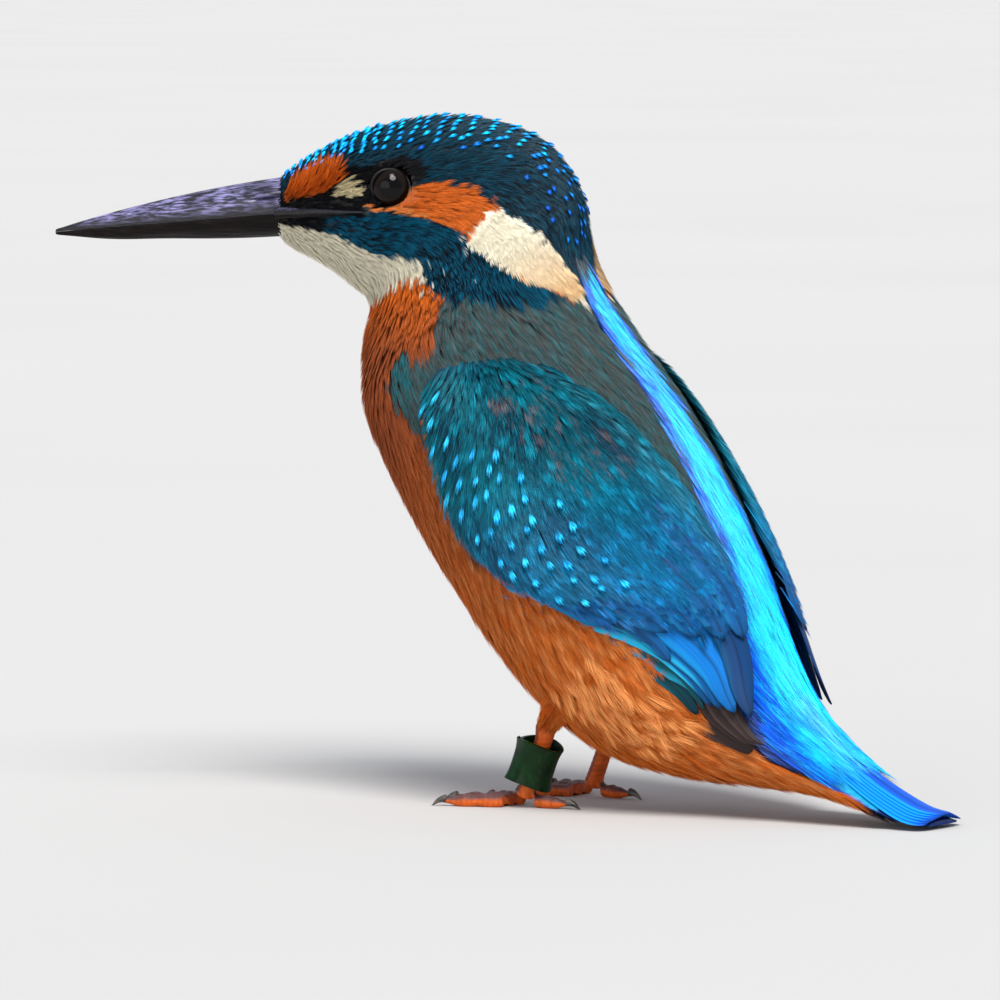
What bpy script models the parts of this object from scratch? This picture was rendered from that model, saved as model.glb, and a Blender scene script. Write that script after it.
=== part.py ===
"""A kingfisher standing upright with its head turned to its left.

The bird faces -Y, its left side is +X and the floor is z = 0. Lengths are in millimetres, and MM
turns them into metres when a mesh is made. Body, neck and head are one run of oval sections, parted
by thin gaps, and the head's sections are turned about an upright axis through the neck.
"""

import math
from collections import namedtuple

import bmesh
import bpy
from mathutils import Matrix, Vector

MM = 0.001
GAP = 0.3  # clearance between pieces that meet
SHARP_ANGLE = 40.0  # degrees between faces above which an edge shows sharp

# Head and neck
HEAD_TURN = 33.0  # degrees to the bird's left
NECK_PIVOT_Y = -19.4  # the upright axis that the head turns about
CROWN_LIFT = 0.10  # how much wider the head's sections are below their middle

# Bill
BILL_LENGTH = 32.4
BILL_TIP_DROP = 2.8  # the tip lies this much lower than the middle of the bill's base
BILL_HALF_DEPTH = 4.2
BILL_HALF_WIDTH = 4.2
BILL_TIP_RADIUS = 0.25
BILL_FULLNESS = 0.16  # how far the middle of the bill swells over a straight taper
BILL_BASE_DROP = 0.5  # the mouth line lies this much below the middle of the bill's base
BILL_RIDGE = 0.9  # below 1 rounds the ridge, above 1 sharpens it
MOUTH_CLOSING = 0.4  # the share of the gap between the bill's halves that is lost at the tip
BILL_ROWS, BILL_ARCH = 12, 9  # steps along the bill, points over each half

# Eyes
EYE_RADIUS = 2.95
EYE_BULGE = 2.2  # half of the eye's thickness from side to side
EYE_Y = -34.6
EYE_Z = 90.3
EYE_OUT = 9.9  # from the head's middle plane to an eye's centre
EYE_SEGMENTS, EYE_RINGS = 16, 10

# Wings
WING_THICKNESS = 2.3
WING_EDGE = 0.6
WING_CLEARANCE = 0.5
WING_CROWN = 0.6  # below 1 makes the wing's section flat-topped
WING_THINNING = 0.62  # the share of its thickness that is lost at the tip
WING_RISE = 0.08  # the share of its length over which it reaches full thickness
SHOULDER_MIDDLE = 0.2  # where the round shoulder's middle lies, as a share up from the low edge
COVERTS_END = 0.50  # shares of the wing's length
SECONDARIES_END = 0.84
WING_SEAM = 0.004  # half of the gap between its parts, as a share of the wing's length
WING_COLUMNS = 9

# Legs and feet
LEG_OUT = 9.0  # from the middle plane to each leg
ANKLE = (-4.4, 11.6)  # y and z of the feathered leg's lower end
FOOT = (-8.4, 1.5)  # y and z of the foot's middle
THIGH_TOP = (9.0, 3.0)  # the thigh's upper end from the ankle: along the shank's line, and back
THIGH_RADII = (1.5, 4.8)  # at the ankle and at the body
TARSUS_RADIUS = 1.15
TARSUS_FLARE = 0.18  # how much wider the shank is at its joints, as a share
TOE_RADIUS = 1.05
TOE_TAPER = 0.72  # a toe's end over its root
KNUCKLE = 0.09  # how far the knuckles swell, as a share
KNUCKLES = 3
SOLE = 0.86  # a toe's middle stands at this share of its radius, which flattens its sole
TOE_SPREAD = 2.19  # from the middle toe's root to the roots beside it
TOE_CLEARANCE = 0.5  # more than the gap, between the shank and the front toes' roots
HIND_TOE_CLEARANCE = 0.4
CLAW_LENGTH = 3.0
CLAW_BEND = 75.0  # degrees that the claw curls down
CLAW_REACH = 0.8  # its reach over its length
CLAW_BASE, CLAW_HUMP, CLAW_FALL = 0.98, 0.35, 0.62  # the heights that its middle line takes
CLAW_RADII = (0.76, 0.14)
CLAW_NARROWING = 0.8  # its width over its depth

# Front toes by name: degrees outwards from straight ahead, length, and the root's side, counted
# in spreads away from the middle plane. The hind toe has the same first two.
FRONT_TOES = {"inner": (-20, 6.8, -1), "middle": (2, 9.5, 0), "outer": (22, 8.8, 1)}
HIND_TOE = (8, 5.0)

# Leg ring
RING_RADIUS = 3.3
RING_WALL = 0.65
RING_HEIGHT = 6.4
RING_MIDDLE = 0.50  # its place along the tarsus, as a share from ankle to foot
RING_COUNT = 24

SIDES = {"left": 1, "right": -1}

# A section of the body: its middle point (y, z) in the bird's middle plane, the pitch of the
# body's run in degrees below level, its share of the head's turn, and its two half sizes.
Section = namedtuple("Section", "y z pitch turn wide deep")
BODY = {
    "bill_base": Section(-51.6, 86.9, 0, 1.0, 4.7, 4.4),
    "forehead": Section(-47.9, 87.6, 7, 1.0, 7.0, 7.0),
    "lores": Section(-42.6, 87.9, 9, 1.0, 9.4, 9.9),
    "eyes": Section(-36.6, 87.5, 16, 1.0, 11.4, 13.0),
    "ears": Section(-30.7, 86.8, 27, 1.0, 13.2, 15.6),
    "nape": Section(-25.4, 82.9, 44, 0.85, 15.0, 19.3),
    "neck": Section(-23.0, 75.4, 51, 0.5, 16.8, 21.3),
    "shoulders": Section(-21.8, 67.0, 54, 0.2, 18.8, 20.8),
    "breast": Section(-15.9, 57.6, 54, 0.0, 20.0, 21.5),
    "back": Section(-7.4, 46.4, 53, 0.0, 20.4, 22.2),
    "belly": Section(1.2, 35.0, 54, 0.0, 19.6, 21.6),
    "flanks": Section(8.2, 25.4, 56, 0.0, 18.0, 20.0),
    "rump": Section(15.2, 17.6, 53, 0.0, 15.0, 16.6),
    "vent": Section(22.4, 13.2, 48, 0.0, 11.4, 12.2),
    "tail_coverts": Section(29.8, 10.2, 42, 0.0, 9.2, 7.8),
    "tail_base": Section(37.2, 7.6, 34, 0.0, 8.0, 4.4),
    "tail_middle": Section(45.2, 4.4, 24, 0.0, 7.2, 2.2),
    "tail_end": Section(53.0, 1.4, 10, 0.0, 6.4, 1.3),
    "tail_tip": Section(58.0, 0.7, 2, 0.0, 4.6, 1.0),
}
PLACE = {name: float(i) for i, name in enumerate(BODY)}
NECK_START = PLACE["ears"] + 0.5
TRUNK_START = PLACE["shoulders"] - 0.3

# Lengths of the body by name: where each starts and ends, its steps and the points round it.
LENGTHS = {
    "head": (PLACE["bill_base"], NECK_START, 13, 30),
    "neck": (NECK_START, TRUNK_START, 6, 30),
    "trunk": (TRUNK_START, PLACE["rump"], 16, 32),
    "rump": (PLACE["rump"], PLACE["tail_coverts"], 6, 26),
    "tail": (PLACE["tail_coverts"], PLACE["tail_tip"], 12, 24),
}

# The wing's edges, as angles round the body from the middle of the back, at even steps from the
# shoulder to the tip, and how far the wing stands off the body there.
WING_TOP = (62, 44, 32, 25, 21, 20, 27, 42, 60)
WING_LOW = (92, 99, 109, 101, 84, 71, 71, 84, 90)
WING_LIFT = (0.0, 0.0, 0.0, 0.0, 0.1, 0.4, 0.9, 1.5, 1.8)
WING_ROUND = (0.13, 0.14)  # the rounded shares of its length at the shoulder and the tip
WING_START = PLACE["shoulders"] + 0.45
WING_END = PLACE["tail_coverts"]

COLOURS = {
    "crown": (0.004, 0.035, 0.06),
    "mantle": (0.03, 0.07, 0.08),
    "orange": (0.42, 0.11, 0.025),
    "coverts": (0.0, 0.12, 0.16),
    "blue": (0.0, 0.16, 0.45),
    "brown": (0.06, 0.035, 0.025),
    "bright_blue": (0.0, 0.35, 0.75),
    "bill": (0.012, 0.012, 0.016),
    "eye": (0.006, 0.004, 0.003),
    "leg": (0.45, 0.1, 0.03),
    "claw": (0.03, 0.028, 0.028),
    "ring": (0.004, 0.05, 0.012),
}


def clear_scene():
    """Removes every object and mesh that the file starts with."""
    for item in list(bpy.data.objects):
        bpy.data.objects.remove(item, do_unlink=True)
    for mesh in list(bpy.data.meshes):
        bpy.data.meshes.remove(mesh)


def material(name, colour, roughness=0.6, metallic=0.0):
    """Returns a new Principled material of one colour."""
    made = bpy.data.materials.new(name)
    made.use_nodes = True
    shader = made.node_tree.nodes["Principled BSDF"]
    shader.inputs["Base Color"].default_value = (*COLOURS[colour], 1.0)
    shader.inputs["Roughness"].default_value = roughness
    shader.inputs["Metallic"].default_value = metallic
    return made


def smooth_value(values, place):
    """Reads a smooth curve through evenly spaced values at a place counted in steps."""
    last = len(values) - 1
    place = min(max(place, 0.0), float(last))
    i = min(int(place), last - 1)
    t = place - i
    before = values[i - 1] if i > 0 else 2 * values[0] - values[1]
    after = values[i + 2] if i + 2 <= last else 2 * values[last] - values[last - 1]
    here, then = values[i], values[i + 1]
    slope = (then - before) / 2
    next_slope = (after - here) / 2
    rise = then - here
    return here + t * slope + t * t * (3 * rise - 2 * slope - next_slope) + t * t * t * (
        slope + next_slope - 2 * rise
    )


def section_at(place):
    """Returns the body's section at a place counted along BODY, smoothly between its sections."""
    rows = list(BODY.values())
    return Section(*(smooth_value([row[k] for row in rows], place) for k in range(6)))


def turned(point, share):
    """Turns a point about the neck's upright axis by a share of the head's turn."""
    angle = math.radians(HEAD_TURN) * share
    x, y = point[0], point[1] - NECK_PIVOT_Y
    return Vector(
        (
            x * math.cos(angle) - y * math.sin(angle),
            x * math.sin(angle) + y * math.cos(angle) + NECK_PIVOT_Y,
            point[2],
        )
    )


def body_point(place, angle, grow=0.0, shift=0.0):
    """Returns a point of the body's surface.

    The angle runs round the body from the middle of the back, grow moves the point outwards and
    shift moves it towards the tail.
    """
    s = section_at(place)
    pitch = math.radians(s.pitch)
    head_share = min(1.0, max(0.0, (PLACE["nape"] - place) / 2))
    across = math.sin(angle) * (s.wide + grow) * (1 - CROWN_LIFT * head_share * math.cos(angle))
    up = math.cos(angle) * (s.deep + grow)
    y = s.y + up * math.sin(pitch) + shift * math.cos(pitch)
    z = s.z + up * math.cos(pitch) - shift * math.sin(pitch)
    return turned((across, y, z), s.turn)


def body_ring(place, count, grow=0.0, shift=0.0, floor=False):
    """Returns a closed ring of points round the body, kept above the floor if asked."""
    ring = [body_point(place, 2 * math.pi * i / count, grow, shift) for i in range(count)]
    if floor:
        for point in ring:
            point.z = max(point.z, 0.0)
    return ring


def steps(start, end, count):
    """Returns evenly spaced values from start to end, both included."""
    return [start + (end - start) * i / count for i in range(count + 1)]


def add_object(name, bm, surface):
    """Turns a bmesh in millimetres into a named object in metres, with outward faces."""
    bmesh.ops.recalc_face_normals(bm, faces=bm.faces)
    bmesh.ops.scale(bm, vec=(MM, MM, MM), verts=bm.verts)
    mesh = bpy.data.meshes.new(name)
    bm.to_mesh(mesh)
    bm.free()
    mesh.shade_smooth()
    mesh.set_sharp_from_angle(angle=math.radians(SHARP_ANGLE))
    made = bpy.data.objects.new(name, mesh)
    mesh.materials.append(surface)
    bpy.context.collection.objects.link(made)
    return made


def loft(name, rings, surface):
    """Makes a closed solid from rings of points with the same count, capped at both ends."""
    bm = bmesh.new()
    rows = [[bm.verts.new(point) for point in ring] for ring in rings]
    count = len(rows[0])
    for near, far in zip(rows, rows[1:], strict=False):
        for i in range(count):
            j = (i + 1) % count
            bm.faces.new((near[i], near[j], far[j], far[i]))
    bm.faces.new(rows[0])
    bm.faces.new(rows[-1])
    return add_object(name, bm, surface)


def plate(name, outer, inner, surface):
    """Makes a closed solid between two grids of points, walled round their edges."""
    bm = bmesh.new()
    top = [[bm.verts.new(p) for p in row] for row in outer]
    low = [[bm.verts.new(p) for p in row] for row in inner]
    for grid in (top, low):
        for near, far in zip(grid, grid[1:], strict=False):
            for i in range(len(near) - 1):
                bm.faces.new((near[i], near[i + 1], far[i + 1], far[i]))
    for a, b in ((top[0], low[0]), (top[-1], low[-1])):
        for i in range(len(a) - 1):
            bm.faces.new((a[i], a[i + 1], b[i + 1], b[i]))
    for k in (0, -1):
        for i in range(len(top) - 1):
            bm.faces.new((top[i][k], top[i + 1][k], low[i + 1][k], low[i][k]))
    return add_object(name, bm, surface)


def tube_ring(middle, forward, across_radius, up_radius, count, floor=None):
    """Returns an oval ring about a point, square to a direction, its lowest points cut at floor."""
    forward = Vector(forward).normalized()
    side = forward.cross(Vector((0, 0, 1))).normalized()
    up = side.cross(forward)
    ring = []
    for i in range(count):
        angle = 2 * math.pi * (i + 0.5) / count
        point = (
            Vector(middle)
            + side * across_radius * math.sin(angle)
            + up * up_radius * math.cos(angle)
        )
        if floor is not None:
            point.z = max(point.z, floor)
        ring.append(point)
    return ring


def cut_away(target, cutter):
    """Cuts one object with another, which is kept as a hidden cutter."""
    cutter.hide_render = True
    cutter.display_type = "WIRE"
    cut = target.modifiers.new("cut_" + cutter.name, "BOOLEAN")
    cut.operation = "DIFFERENCE"
    cut.solver = "EXACT"
    cut.object = cutter


def body_length(name, colour, ends=(True, True)):
    """Makes one length of the body, held half a gap back from each end that meets another."""
    start, end, count, sides = LENGTHS[name]
    back_off = GAP / 2
    rings = []
    for k, place in enumerate(steps(start, end, count)):
        shift = back_off * ends[0] if k == 0 else -back_off * ends[1] if k == count else 0.0
        rings.append(body_ring(place, sides, 0.0, shift, True))
    return loft(name, rings, material(name, colour))


def eyeball(side, grow):
    """Returns a mesh of one eye, a ball flattened from side to side and grown all round."""
    place = turned((EYE_OUT * SIDES[side], EYE_Y, EYE_Z), 1.0)
    outward = turned((SIDES[side], NECK_PIVOT_Y, 0), 1.0) - turned((0, NECK_PIVOT_Y, 0), 1.0)
    spin = Vector((0, 0, 1)).rotation_difference(outward).to_matrix().to_4x4()
    across = EYE_RADIUS + grow
    size = Matrix.Diagonal((across, across, EYE_BULGE + grow, 1))
    bm = bmesh.new()
    bmesh.ops.create_uvsphere(bm, u_segments=EYE_SEGMENTS, v_segments=EYE_RINGS, radius=1)
    bmesh.ops.transform(bm, matrix=Matrix.Translation(place) @ spin @ size, verts=bm.verts)
    return bm


def make_eye(side):
    """Makes one eye, whose front stands just proud of the head."""
    name = "eye_" + side
    add_object(name, eyeball(side, 0.0), material(name, "eye", 0.08))


def make_socket(side):
    """Makes the cutter for one eye's socket, a gap wider than the eye."""
    name = "socket_" + side
    return add_object(name, eyeball(side, GAP), material(name, "eye"))


def make_head():
    """Makes the head with a socket for each eye."""
    head = body_length("head", "crown", ends=(False, True))
    for side in SIDES:
        cut_away(head, make_socket(side))
    return head


def bill_ring(t, upper):
    """Returns a half section of the bill at t, 0 at its base and 1 at its tip.

    The ring is the upper or the lower half: an arch whose flat side lies along the mouth line.
    """
    base = BODY["bill_base"]
    taper = (1 - t) * (1 + BILL_FULLNESS * math.sin(math.pi * t))
    wide = BILL_TIP_RADIUS + (BILL_HALF_WIDTH - BILL_TIP_RADIUS) * taper
    deep = BILL_TIP_RADIUS + (BILL_HALF_DEPTH - BILL_TIP_RADIUS) * taper
    y = base.y - GAP - BILL_LENGTH * t
    z = base.z - BILL_BASE_DROP - BILL_TIP_DROP * t
    half_slit = GAP / 2 * (1 - MOUTH_CLOSING * t)
    sign = 1 if upper else -1
    ring = []
    for angle in steps(0.0, math.pi, BILL_ARCH - 1):
        across = wide * math.cos(angle)
        ridge = abs(math.sin(angle)) ** BILL_RIDGE
        up = half_slit + (deep - half_slit) * ridge
        ring.append(turned((across, y, z + sign * up), 1.0))
    return ring


def make_bill():
    """Makes the upper and the lower half of the dagger-like bill."""
    for name, upper in (("bill_upper", True), ("bill_lower", False)):
        rings = [bill_ring(t, upper) for t in steps(0.0, 1.0, BILL_ROWS)]
        loft(name, rings, material(name, "bill", 0.3))


def rounding(share):
    """Returns the half width of a round end at a share of its length, from about 0.2 to 1."""
    share = min(max(share, 0.02), 1.0)
    return math.sqrt(1 - (1 - share) ** 2)


def wing_point(side, along, across, outer):
    """Returns a point of a wing: along from shoulder to tip, across from its top edge down."""
    step = along * (len(WING_TOP) - 1)
    top = smooth_value(WING_TOP, step)
    low = smooth_value(WING_LOW, step)
    share = rounding(along / WING_ROUND[0]) * rounding((1 - along) / WING_ROUND[1])
    middle = low + (top - low) * (SHOULDER_MIDDLE if along < 0.5 else 0.5)
    top = middle + (top - middle) * share
    low = middle + (low - middle) * share
    angle = math.radians(top + (low - top) * across) * SIDES[side]
    place = WING_START + (WING_END - WING_START) * along
    grow = WING_CLEARANCE + max(0.0, smooth_value(WING_LIFT, step))
    if outer:
        bulge = abs(math.sin(math.pi * min(max(across, 0.0), 1.0))) ** WING_CROWN
        fullness = 1 - WING_THINNING * along
        start = min(1.0, along / WING_RISE)
        grow += WING_EDGE + (WING_THICKNESS - WING_EDGE) * bulge * fullness * start
    return body_point(place, angle, grow)


def make_wing_part(side, name, start, end, rows, surface):
    """Makes one part of a wing, a thin curved plate that lies over the body's side."""
    grids = []
    for outer in (True, False):
        grid = []
        for along in steps(start, end, rows):
            across_steps = steps(0.0, 1.0, WING_COLUMNS)
            grid.append([wing_point(side, along, across, outer) for across in across_steps])
        grids.append(grid)
    return plate(name, grids[0], grids[1], surface)


def make_wing(side):
    """Makes a folded wing: the coverts, the secondaries, and the primaries' tips."""
    parts = (
        ("coverts", 0.0, COVERTS_END - WING_SEAM, 8, "coverts"),
        ("secondaries", COVERTS_END + WING_SEAM, SECONDARIES_END - WING_SEAM, 6, "blue"),
        ("primaries", SECONDARIES_END + WING_SEAM, 1.0, 4, "brown"),
    )
    for part, start, end, rows, colour in parts:
        name = f"wing_{side}_{part}"
        make_wing_part(side, name, start, end, rows, material(name, colour, 0.5))


def leg_points(side):
    """Returns the ankle and the middle of the foot on one side."""
    out = LEG_OUT * SIDES[side]
    return Vector((out, *ANKLE)), Vector((out, *FOOT))


def make_thigh(side, trunk_shell):
    """Makes the feathered part of a leg, cut where it meets the body."""
    ankle, foot = leg_points(side)
    run = (ankle - foot).normalized()
    up, back = THIGH_TOP
    top = ankle + run * up + Vector((0, back, 0))
    thin, thick = THIGH_RADII
    name = "thigh_" + side
    rings = []
    for t in steps(0.0, 1.0, 5):
        middle = ankle.lerp(top, t)
        radius = thin + (thick - thin) * math.sin(math.pi / 2 * t)
        rings.append(tube_ring(middle, top - ankle, radius, radius, 14))
    thigh = loft(name, rings, material(name, "orange"))
    cut_away(thigh, trunk_shell)


def make_tarsus(side):
    """Makes the bare shank from the ankle down to the toes."""
    ankle, foot = leg_points(side)
    run = (foot - ankle).normalized()
    start = ankle + run * GAP
    name = "tarsus_" + side
    rings = []
    for t in steps(0.0, 1.0, 4):
        middle = start.lerp(foot, t)
        radius = TARSUS_RADIUS * (1 + TARSUS_FLARE * (2 * t - 1) ** 2)
        rings.append(tube_ring(middle, run, radius, radius, 10))
    loft(name, rings, material(name, "leg", 0.5))


def toe_rings(root, direction, length):
    """Returns the rings of a toe that runs level from its root, with knuckles and a flat sole."""
    rings = []
    for t in steps(0.0, 1.0, 8):
        knuckle = 1 + KNUCKLE * math.cos(2 * math.pi * KNUCKLES * t)
        r = TOE_RADIUS * (1 + (TOE_TAPER - 1) * t) * knuckle
        middle = root + direction * length * t
        middle.z = r * SOLE
        rings.append(tube_ring(middle, direction, r, r, 10, 0.0))
    return rings


def claw_rings(root, direction):
    """Returns the rings of a claw that leaves its root level and curls down to the floor."""
    rings = []
    thick, thin = CLAW_RADII
    for t in steps(0.0, 1.0, 6):
        bend = math.radians(CLAW_BEND) * t
        middle = root + direction * CLAW_LENGTH * CLAW_REACH * math.sin(bend)
        middle.z = CLAW_BASE + CLAW_HUMP * math.sin(math.pi * t) - CLAW_FALL * t
        tangent = direction * math.cos(bend) - Vector((0, 0, math.sin(bend)))
        r = thick + (thin - thick) * t
        rings.append(tube_ring(middle, tangent, r * CLAW_NARROWING, r, 8, 0.0))
    return rings


def make_toe(side, name, root, heading, length):
    """Makes a toe and, a gap ahead of it, its curved claw."""
    direction = Vector((math.sin(heading), -math.cos(heading), 0))
    toe = f"toe_{name}_{side}"
    loft(toe, toe_rings(root, direction, length), material(toe, "leg", 0.55))
    claw = f"claw_{name}_{side}"
    claw_root = root + direction * (length + GAP)
    loft(claw, claw_rings(claw_root, direction), material(claw, "claw", 0.35))


def make_foot(side):
    """Makes three front toes and the hind toe round the foot's middle."""
    sign = SIDES[side]
    foot = leg_points(side)[1]
    clear = TARSUS_RADIUS * (1 + TARSUS_FLARE) + GAP
    for name, (spread, length, beside) in FRONT_TOES.items():
        root = foot + Vector((sign * beside * TOE_SPREAD, -clear - TOE_CLEARANCE, 0))
        make_toe(side, name, root, math.radians(spread) * sign, length)
    spread, length = HIND_TOE
    root = foot + Vector((0, clear + HIND_TOE_CLEARANCE, 0))
    make_toe(side, "hind", root, math.pi + math.radians(spread) * sign, length)


def make_leg_ring():
    """Makes the loose ring on the left leg, a short open tube round the shank."""
    ankle, foot = leg_points("left")
    axis = (ankle - foot).normalized()
    middle = ankle.lerp(foot, RING_MIDDLE)
    profile = (
        (RING_RADIUS, -RING_HEIGHT / 2),
        (RING_RADIUS, RING_HEIGHT / 2),
        (RING_RADIUS - RING_WALL, RING_HEIGHT / 2),
        (RING_RADIUS - RING_WALL, -RING_HEIGHT / 2),
    )
    bm = bmesh.new()
    rows = []
    for radius, height in profile:
        ring = tube_ring(middle + axis * height, axis, radius, radius, RING_COUNT)
        rows.append([bm.verts.new(point) for point in ring])
    for near, far in zip(rows, rows[1:] + rows[:1], strict=True):
        for i in range(RING_COUNT):
            j = (i + 1) % RING_COUNT
            bm.faces.new((near[i], near[j], far[j], far[i]))
    add_object("leg_ring", bm, material("leg_ring", "ring", 0.35))


def make_body():
    """Makes neck, trunk, rump and tail, and returns the shell that the thighs are cut with."""
    body_length("neck", "mantle")
    body_length("trunk", "orange")
    body_length("rump", "bright_blue")
    body_length("tail", "blue", ends=(True, False))
    places = steps(TRUNK_START, PLACE["vent"] + 0.5, 20)
    shell = [body_ring(place, LENGTHS["trunk"][3], GAP) for place in places]
    return loft("trunk_shell", shell, material("trunk_shell", "orange"))


def centre_on_floor():
    """Moves the whole bird so that the origin is the middle of its box, at floor level."""
    shown = [o for o in bpy.data.objects if not o.hide_render]
    corners = [v.co for o in shown for v in o.data.vertices]
    middle = Vector(
        (
            (min(c.x for c in corners) + max(c.x for c in corners)) / 2,
            (min(c.y for c in corners) + max(c.y for c in corners)) / 2,
            min(c.z for c in corners),
        )
    )
    for item in bpy.data.objects:
        item.data.transform(Matrix.Translation(-middle))


def main():
    """Makes the whole bird."""
    clear_scene()
    make_head()
    make_bill()
    trunk_shell = make_body()
    for side in SIDES:
        make_eye(side)
        make_wing(side)
        make_thigh(side, trunk_shell)
        make_tarsus(side)
        make_foot(side)
    make_leg_ring()
    centre_on_floor()


main()
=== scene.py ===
"""A life-size kingfisher for a museum case, dressed over its CAD body.

Lengths are in metres unless a name or a comment says millimetres. The bird faces -Y, its left side
is +X and it stands on z = 0. One smooth run of oval sections carries every tract of feathers, so a
place is counted along the body from the bill (0) to the tail's end (18) and a turn is an angle
round it from the middle of the back, positive on the bird's left.
"""

import logging
import math
from dataclasses import dataclass
from enum import Enum
from typing import Callable

import bpy
import numpy as np
from mathutils import Matrix, Vector
from mathutils.kdtree import KDTree


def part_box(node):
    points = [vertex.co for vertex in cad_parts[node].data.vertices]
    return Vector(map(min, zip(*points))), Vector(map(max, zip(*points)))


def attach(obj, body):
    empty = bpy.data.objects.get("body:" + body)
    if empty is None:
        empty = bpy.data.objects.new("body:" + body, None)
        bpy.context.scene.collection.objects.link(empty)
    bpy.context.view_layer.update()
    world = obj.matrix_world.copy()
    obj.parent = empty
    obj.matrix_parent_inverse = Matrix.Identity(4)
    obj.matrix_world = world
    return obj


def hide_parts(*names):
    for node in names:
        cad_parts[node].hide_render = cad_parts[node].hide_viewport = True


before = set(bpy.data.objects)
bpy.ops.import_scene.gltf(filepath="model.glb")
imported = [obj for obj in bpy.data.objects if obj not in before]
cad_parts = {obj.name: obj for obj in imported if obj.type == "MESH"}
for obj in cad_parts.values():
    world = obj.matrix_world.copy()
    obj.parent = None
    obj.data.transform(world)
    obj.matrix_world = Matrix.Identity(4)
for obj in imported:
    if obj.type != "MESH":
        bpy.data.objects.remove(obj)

Array, Rng = np.ndarray, np.random.Generator
Item, Socket, Material = bpy.types.Object, bpy.types.NodeSocket, bpy.types.Material
Pair, Triple = tuple[float, float], tuple[float, float, float]
Amount = Array | float
MM = 0.001
FLOOR_GAP = 0.0003  # how low a feather may reach
PATCH = 0.003  # one tuft's patch on the bake map
SEED = 11
TRIES = 60000  # roots tried in one scatter
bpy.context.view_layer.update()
log = logging.getLogger("kingfisher")

# The body's sections in millimetres, as the CAD has them: middle y and z, pitch in degrees, share
# of the head's turn, half width and half depth, at places 0, 1, 2 and so on.
BODY = {
    "bill_base": (-51.6, 86.9, 0, 1.0, 4.7, 4.4),
    "forehead": (-47.9, 87.6, 7, 1.0, 7.0, 7.0),
    "lores": (-42.6, 87.9, 9, 1.0, 9.4, 9.9),
    "eyes": (-36.6, 87.5, 16, 1.0, 11.4, 13.0),
    "ears": (-30.7, 86.8, 27, 1.0, 13.2, 15.6),
    "nape": (-25.4, 82.9, 44, 0.85, 15.0, 19.3),
    "neck": (-23.0, 75.4, 51, 0.5, 16.8, 21.3),
    "shoulders": (-21.8, 67.0, 54, 0.2, 18.8, 20.8),
    "breast": (-15.9, 57.6, 54, 0.0, 20.0, 21.5),
    "back": (-7.4, 46.4, 53, 0.0, 20.4, 22.2),
    "belly": (1.2, 35.0, 54, 0.0, 19.6, 21.6),
    "flanks": (8.2, 25.4, 56, 0.0, 18.0, 20.0),
    "rump": (15.2, 17.6, 53, 0.0, 15.0, 16.6),
    "vent": (22.4, 13.2, 48, 0.0, 11.4, 12.2),
    "tail_coverts": (29.8, 10.2, 42, 0.0, 9.2, 7.8),
    "tail_base": (37.2, 7.6, 34, 0.0, 8.0, 4.4),
    "tail_middle": (45.2, 4.4, 24, 0.0, 7.2, 2.2),
    "tail_end": (53.0, 1.4, 10, 0.0, 6.4, 1.3),
    "tail_tip": (58.0, 0.7, 2, 0.0, 4.6, 1.0),
}
HEAD_TURN = 33.0  # degrees
NECK_PIVOT_Y = -19.4
CROWN_LIFT = 0.10
TAIL_REACH = 58.03  # the tail's furthest y in the sections' own millimetres

WING_TOP = (62, 44, 32, 25, 21, 20, 27, 42, 60)
WING_LOW = (92, 99, 109, 101, 84, 71, 71, 84, 90)
WING_LIFT = (0.0, 0.0, 0.0, 0.0, 0.1, 0.4, 0.9, 1.5, 1.8)
WING_PLACES = (7.45, 14.0)
WING_SKIN = (0.5, 0.6, 2.3)  # clearance, edge and full thickness in millimetres


class Side(Enum):
    """The bird's two sides, each with the sign of x there."""

    LEFT = 1
    RIGHT = -1

    @property
    def word(self) -> str:
        """The side's name as the nodes have it."""
        return self.name.lower()


def paint(red: float, green: float, blue: float) -> Array:
    """Returns a linear colour from everyday 0 to 255 values."""
    share = np.array([red, green, blue], float) / 255
    return np.where(share <= 0.04045, share / 12.92, ((share + 0.055) / 1.055) ** 2.4)


class Hue:
    """The bird's colours."""

    NIGHT = paint(2, 18, 32)
    CROWN = paint(0, 76, 100)
    CROWN_SPOT = paint(0, 166, 255)
    BLACK = paint(14, 14, 18)
    LORE = paint(192, 86, 18)
    CREAM = paint(202, 190, 152)
    EAR = paint(224, 108, 32)
    WHITE = paint(236, 230, 208)
    BUFF = paint(220, 184, 134)
    THROAT = paint(214, 208, 186)
    MALAR = paint(0, 86, 116)
    MANTLE = paint(76, 83, 83)
    MANTLE_TEAL = paint(8, 116, 126)
    BREAST = paint(158, 80, 44)
    BELLY = paint(218, 104, 26)
    PALE_TIP = paint(246, 172, 102)
    COVERT = paint(0, 106, 124)
    COVERT_DARK = paint(0, 62, 84)
    DROP = paint(44, 206, 255)
    TEAL_STREAK = paint(10, 164, 190)
    PINK_STREAK = paint(134, 106, 104)
    AZURE = paint(0, 196, 255)
    TURQUOISE = paint(16, 244, 255)
    DEEP_AZURE = paint(0, 100, 236)
    BLUE = paint(0, 104, 182)
    VIOLET = paint(30, 36, 84)
    VANE_DARK = paint(2, 18, 40)
    TAIL = paint(0, 88, 216)
    BROWN = paint(48, 37, 36)


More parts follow.
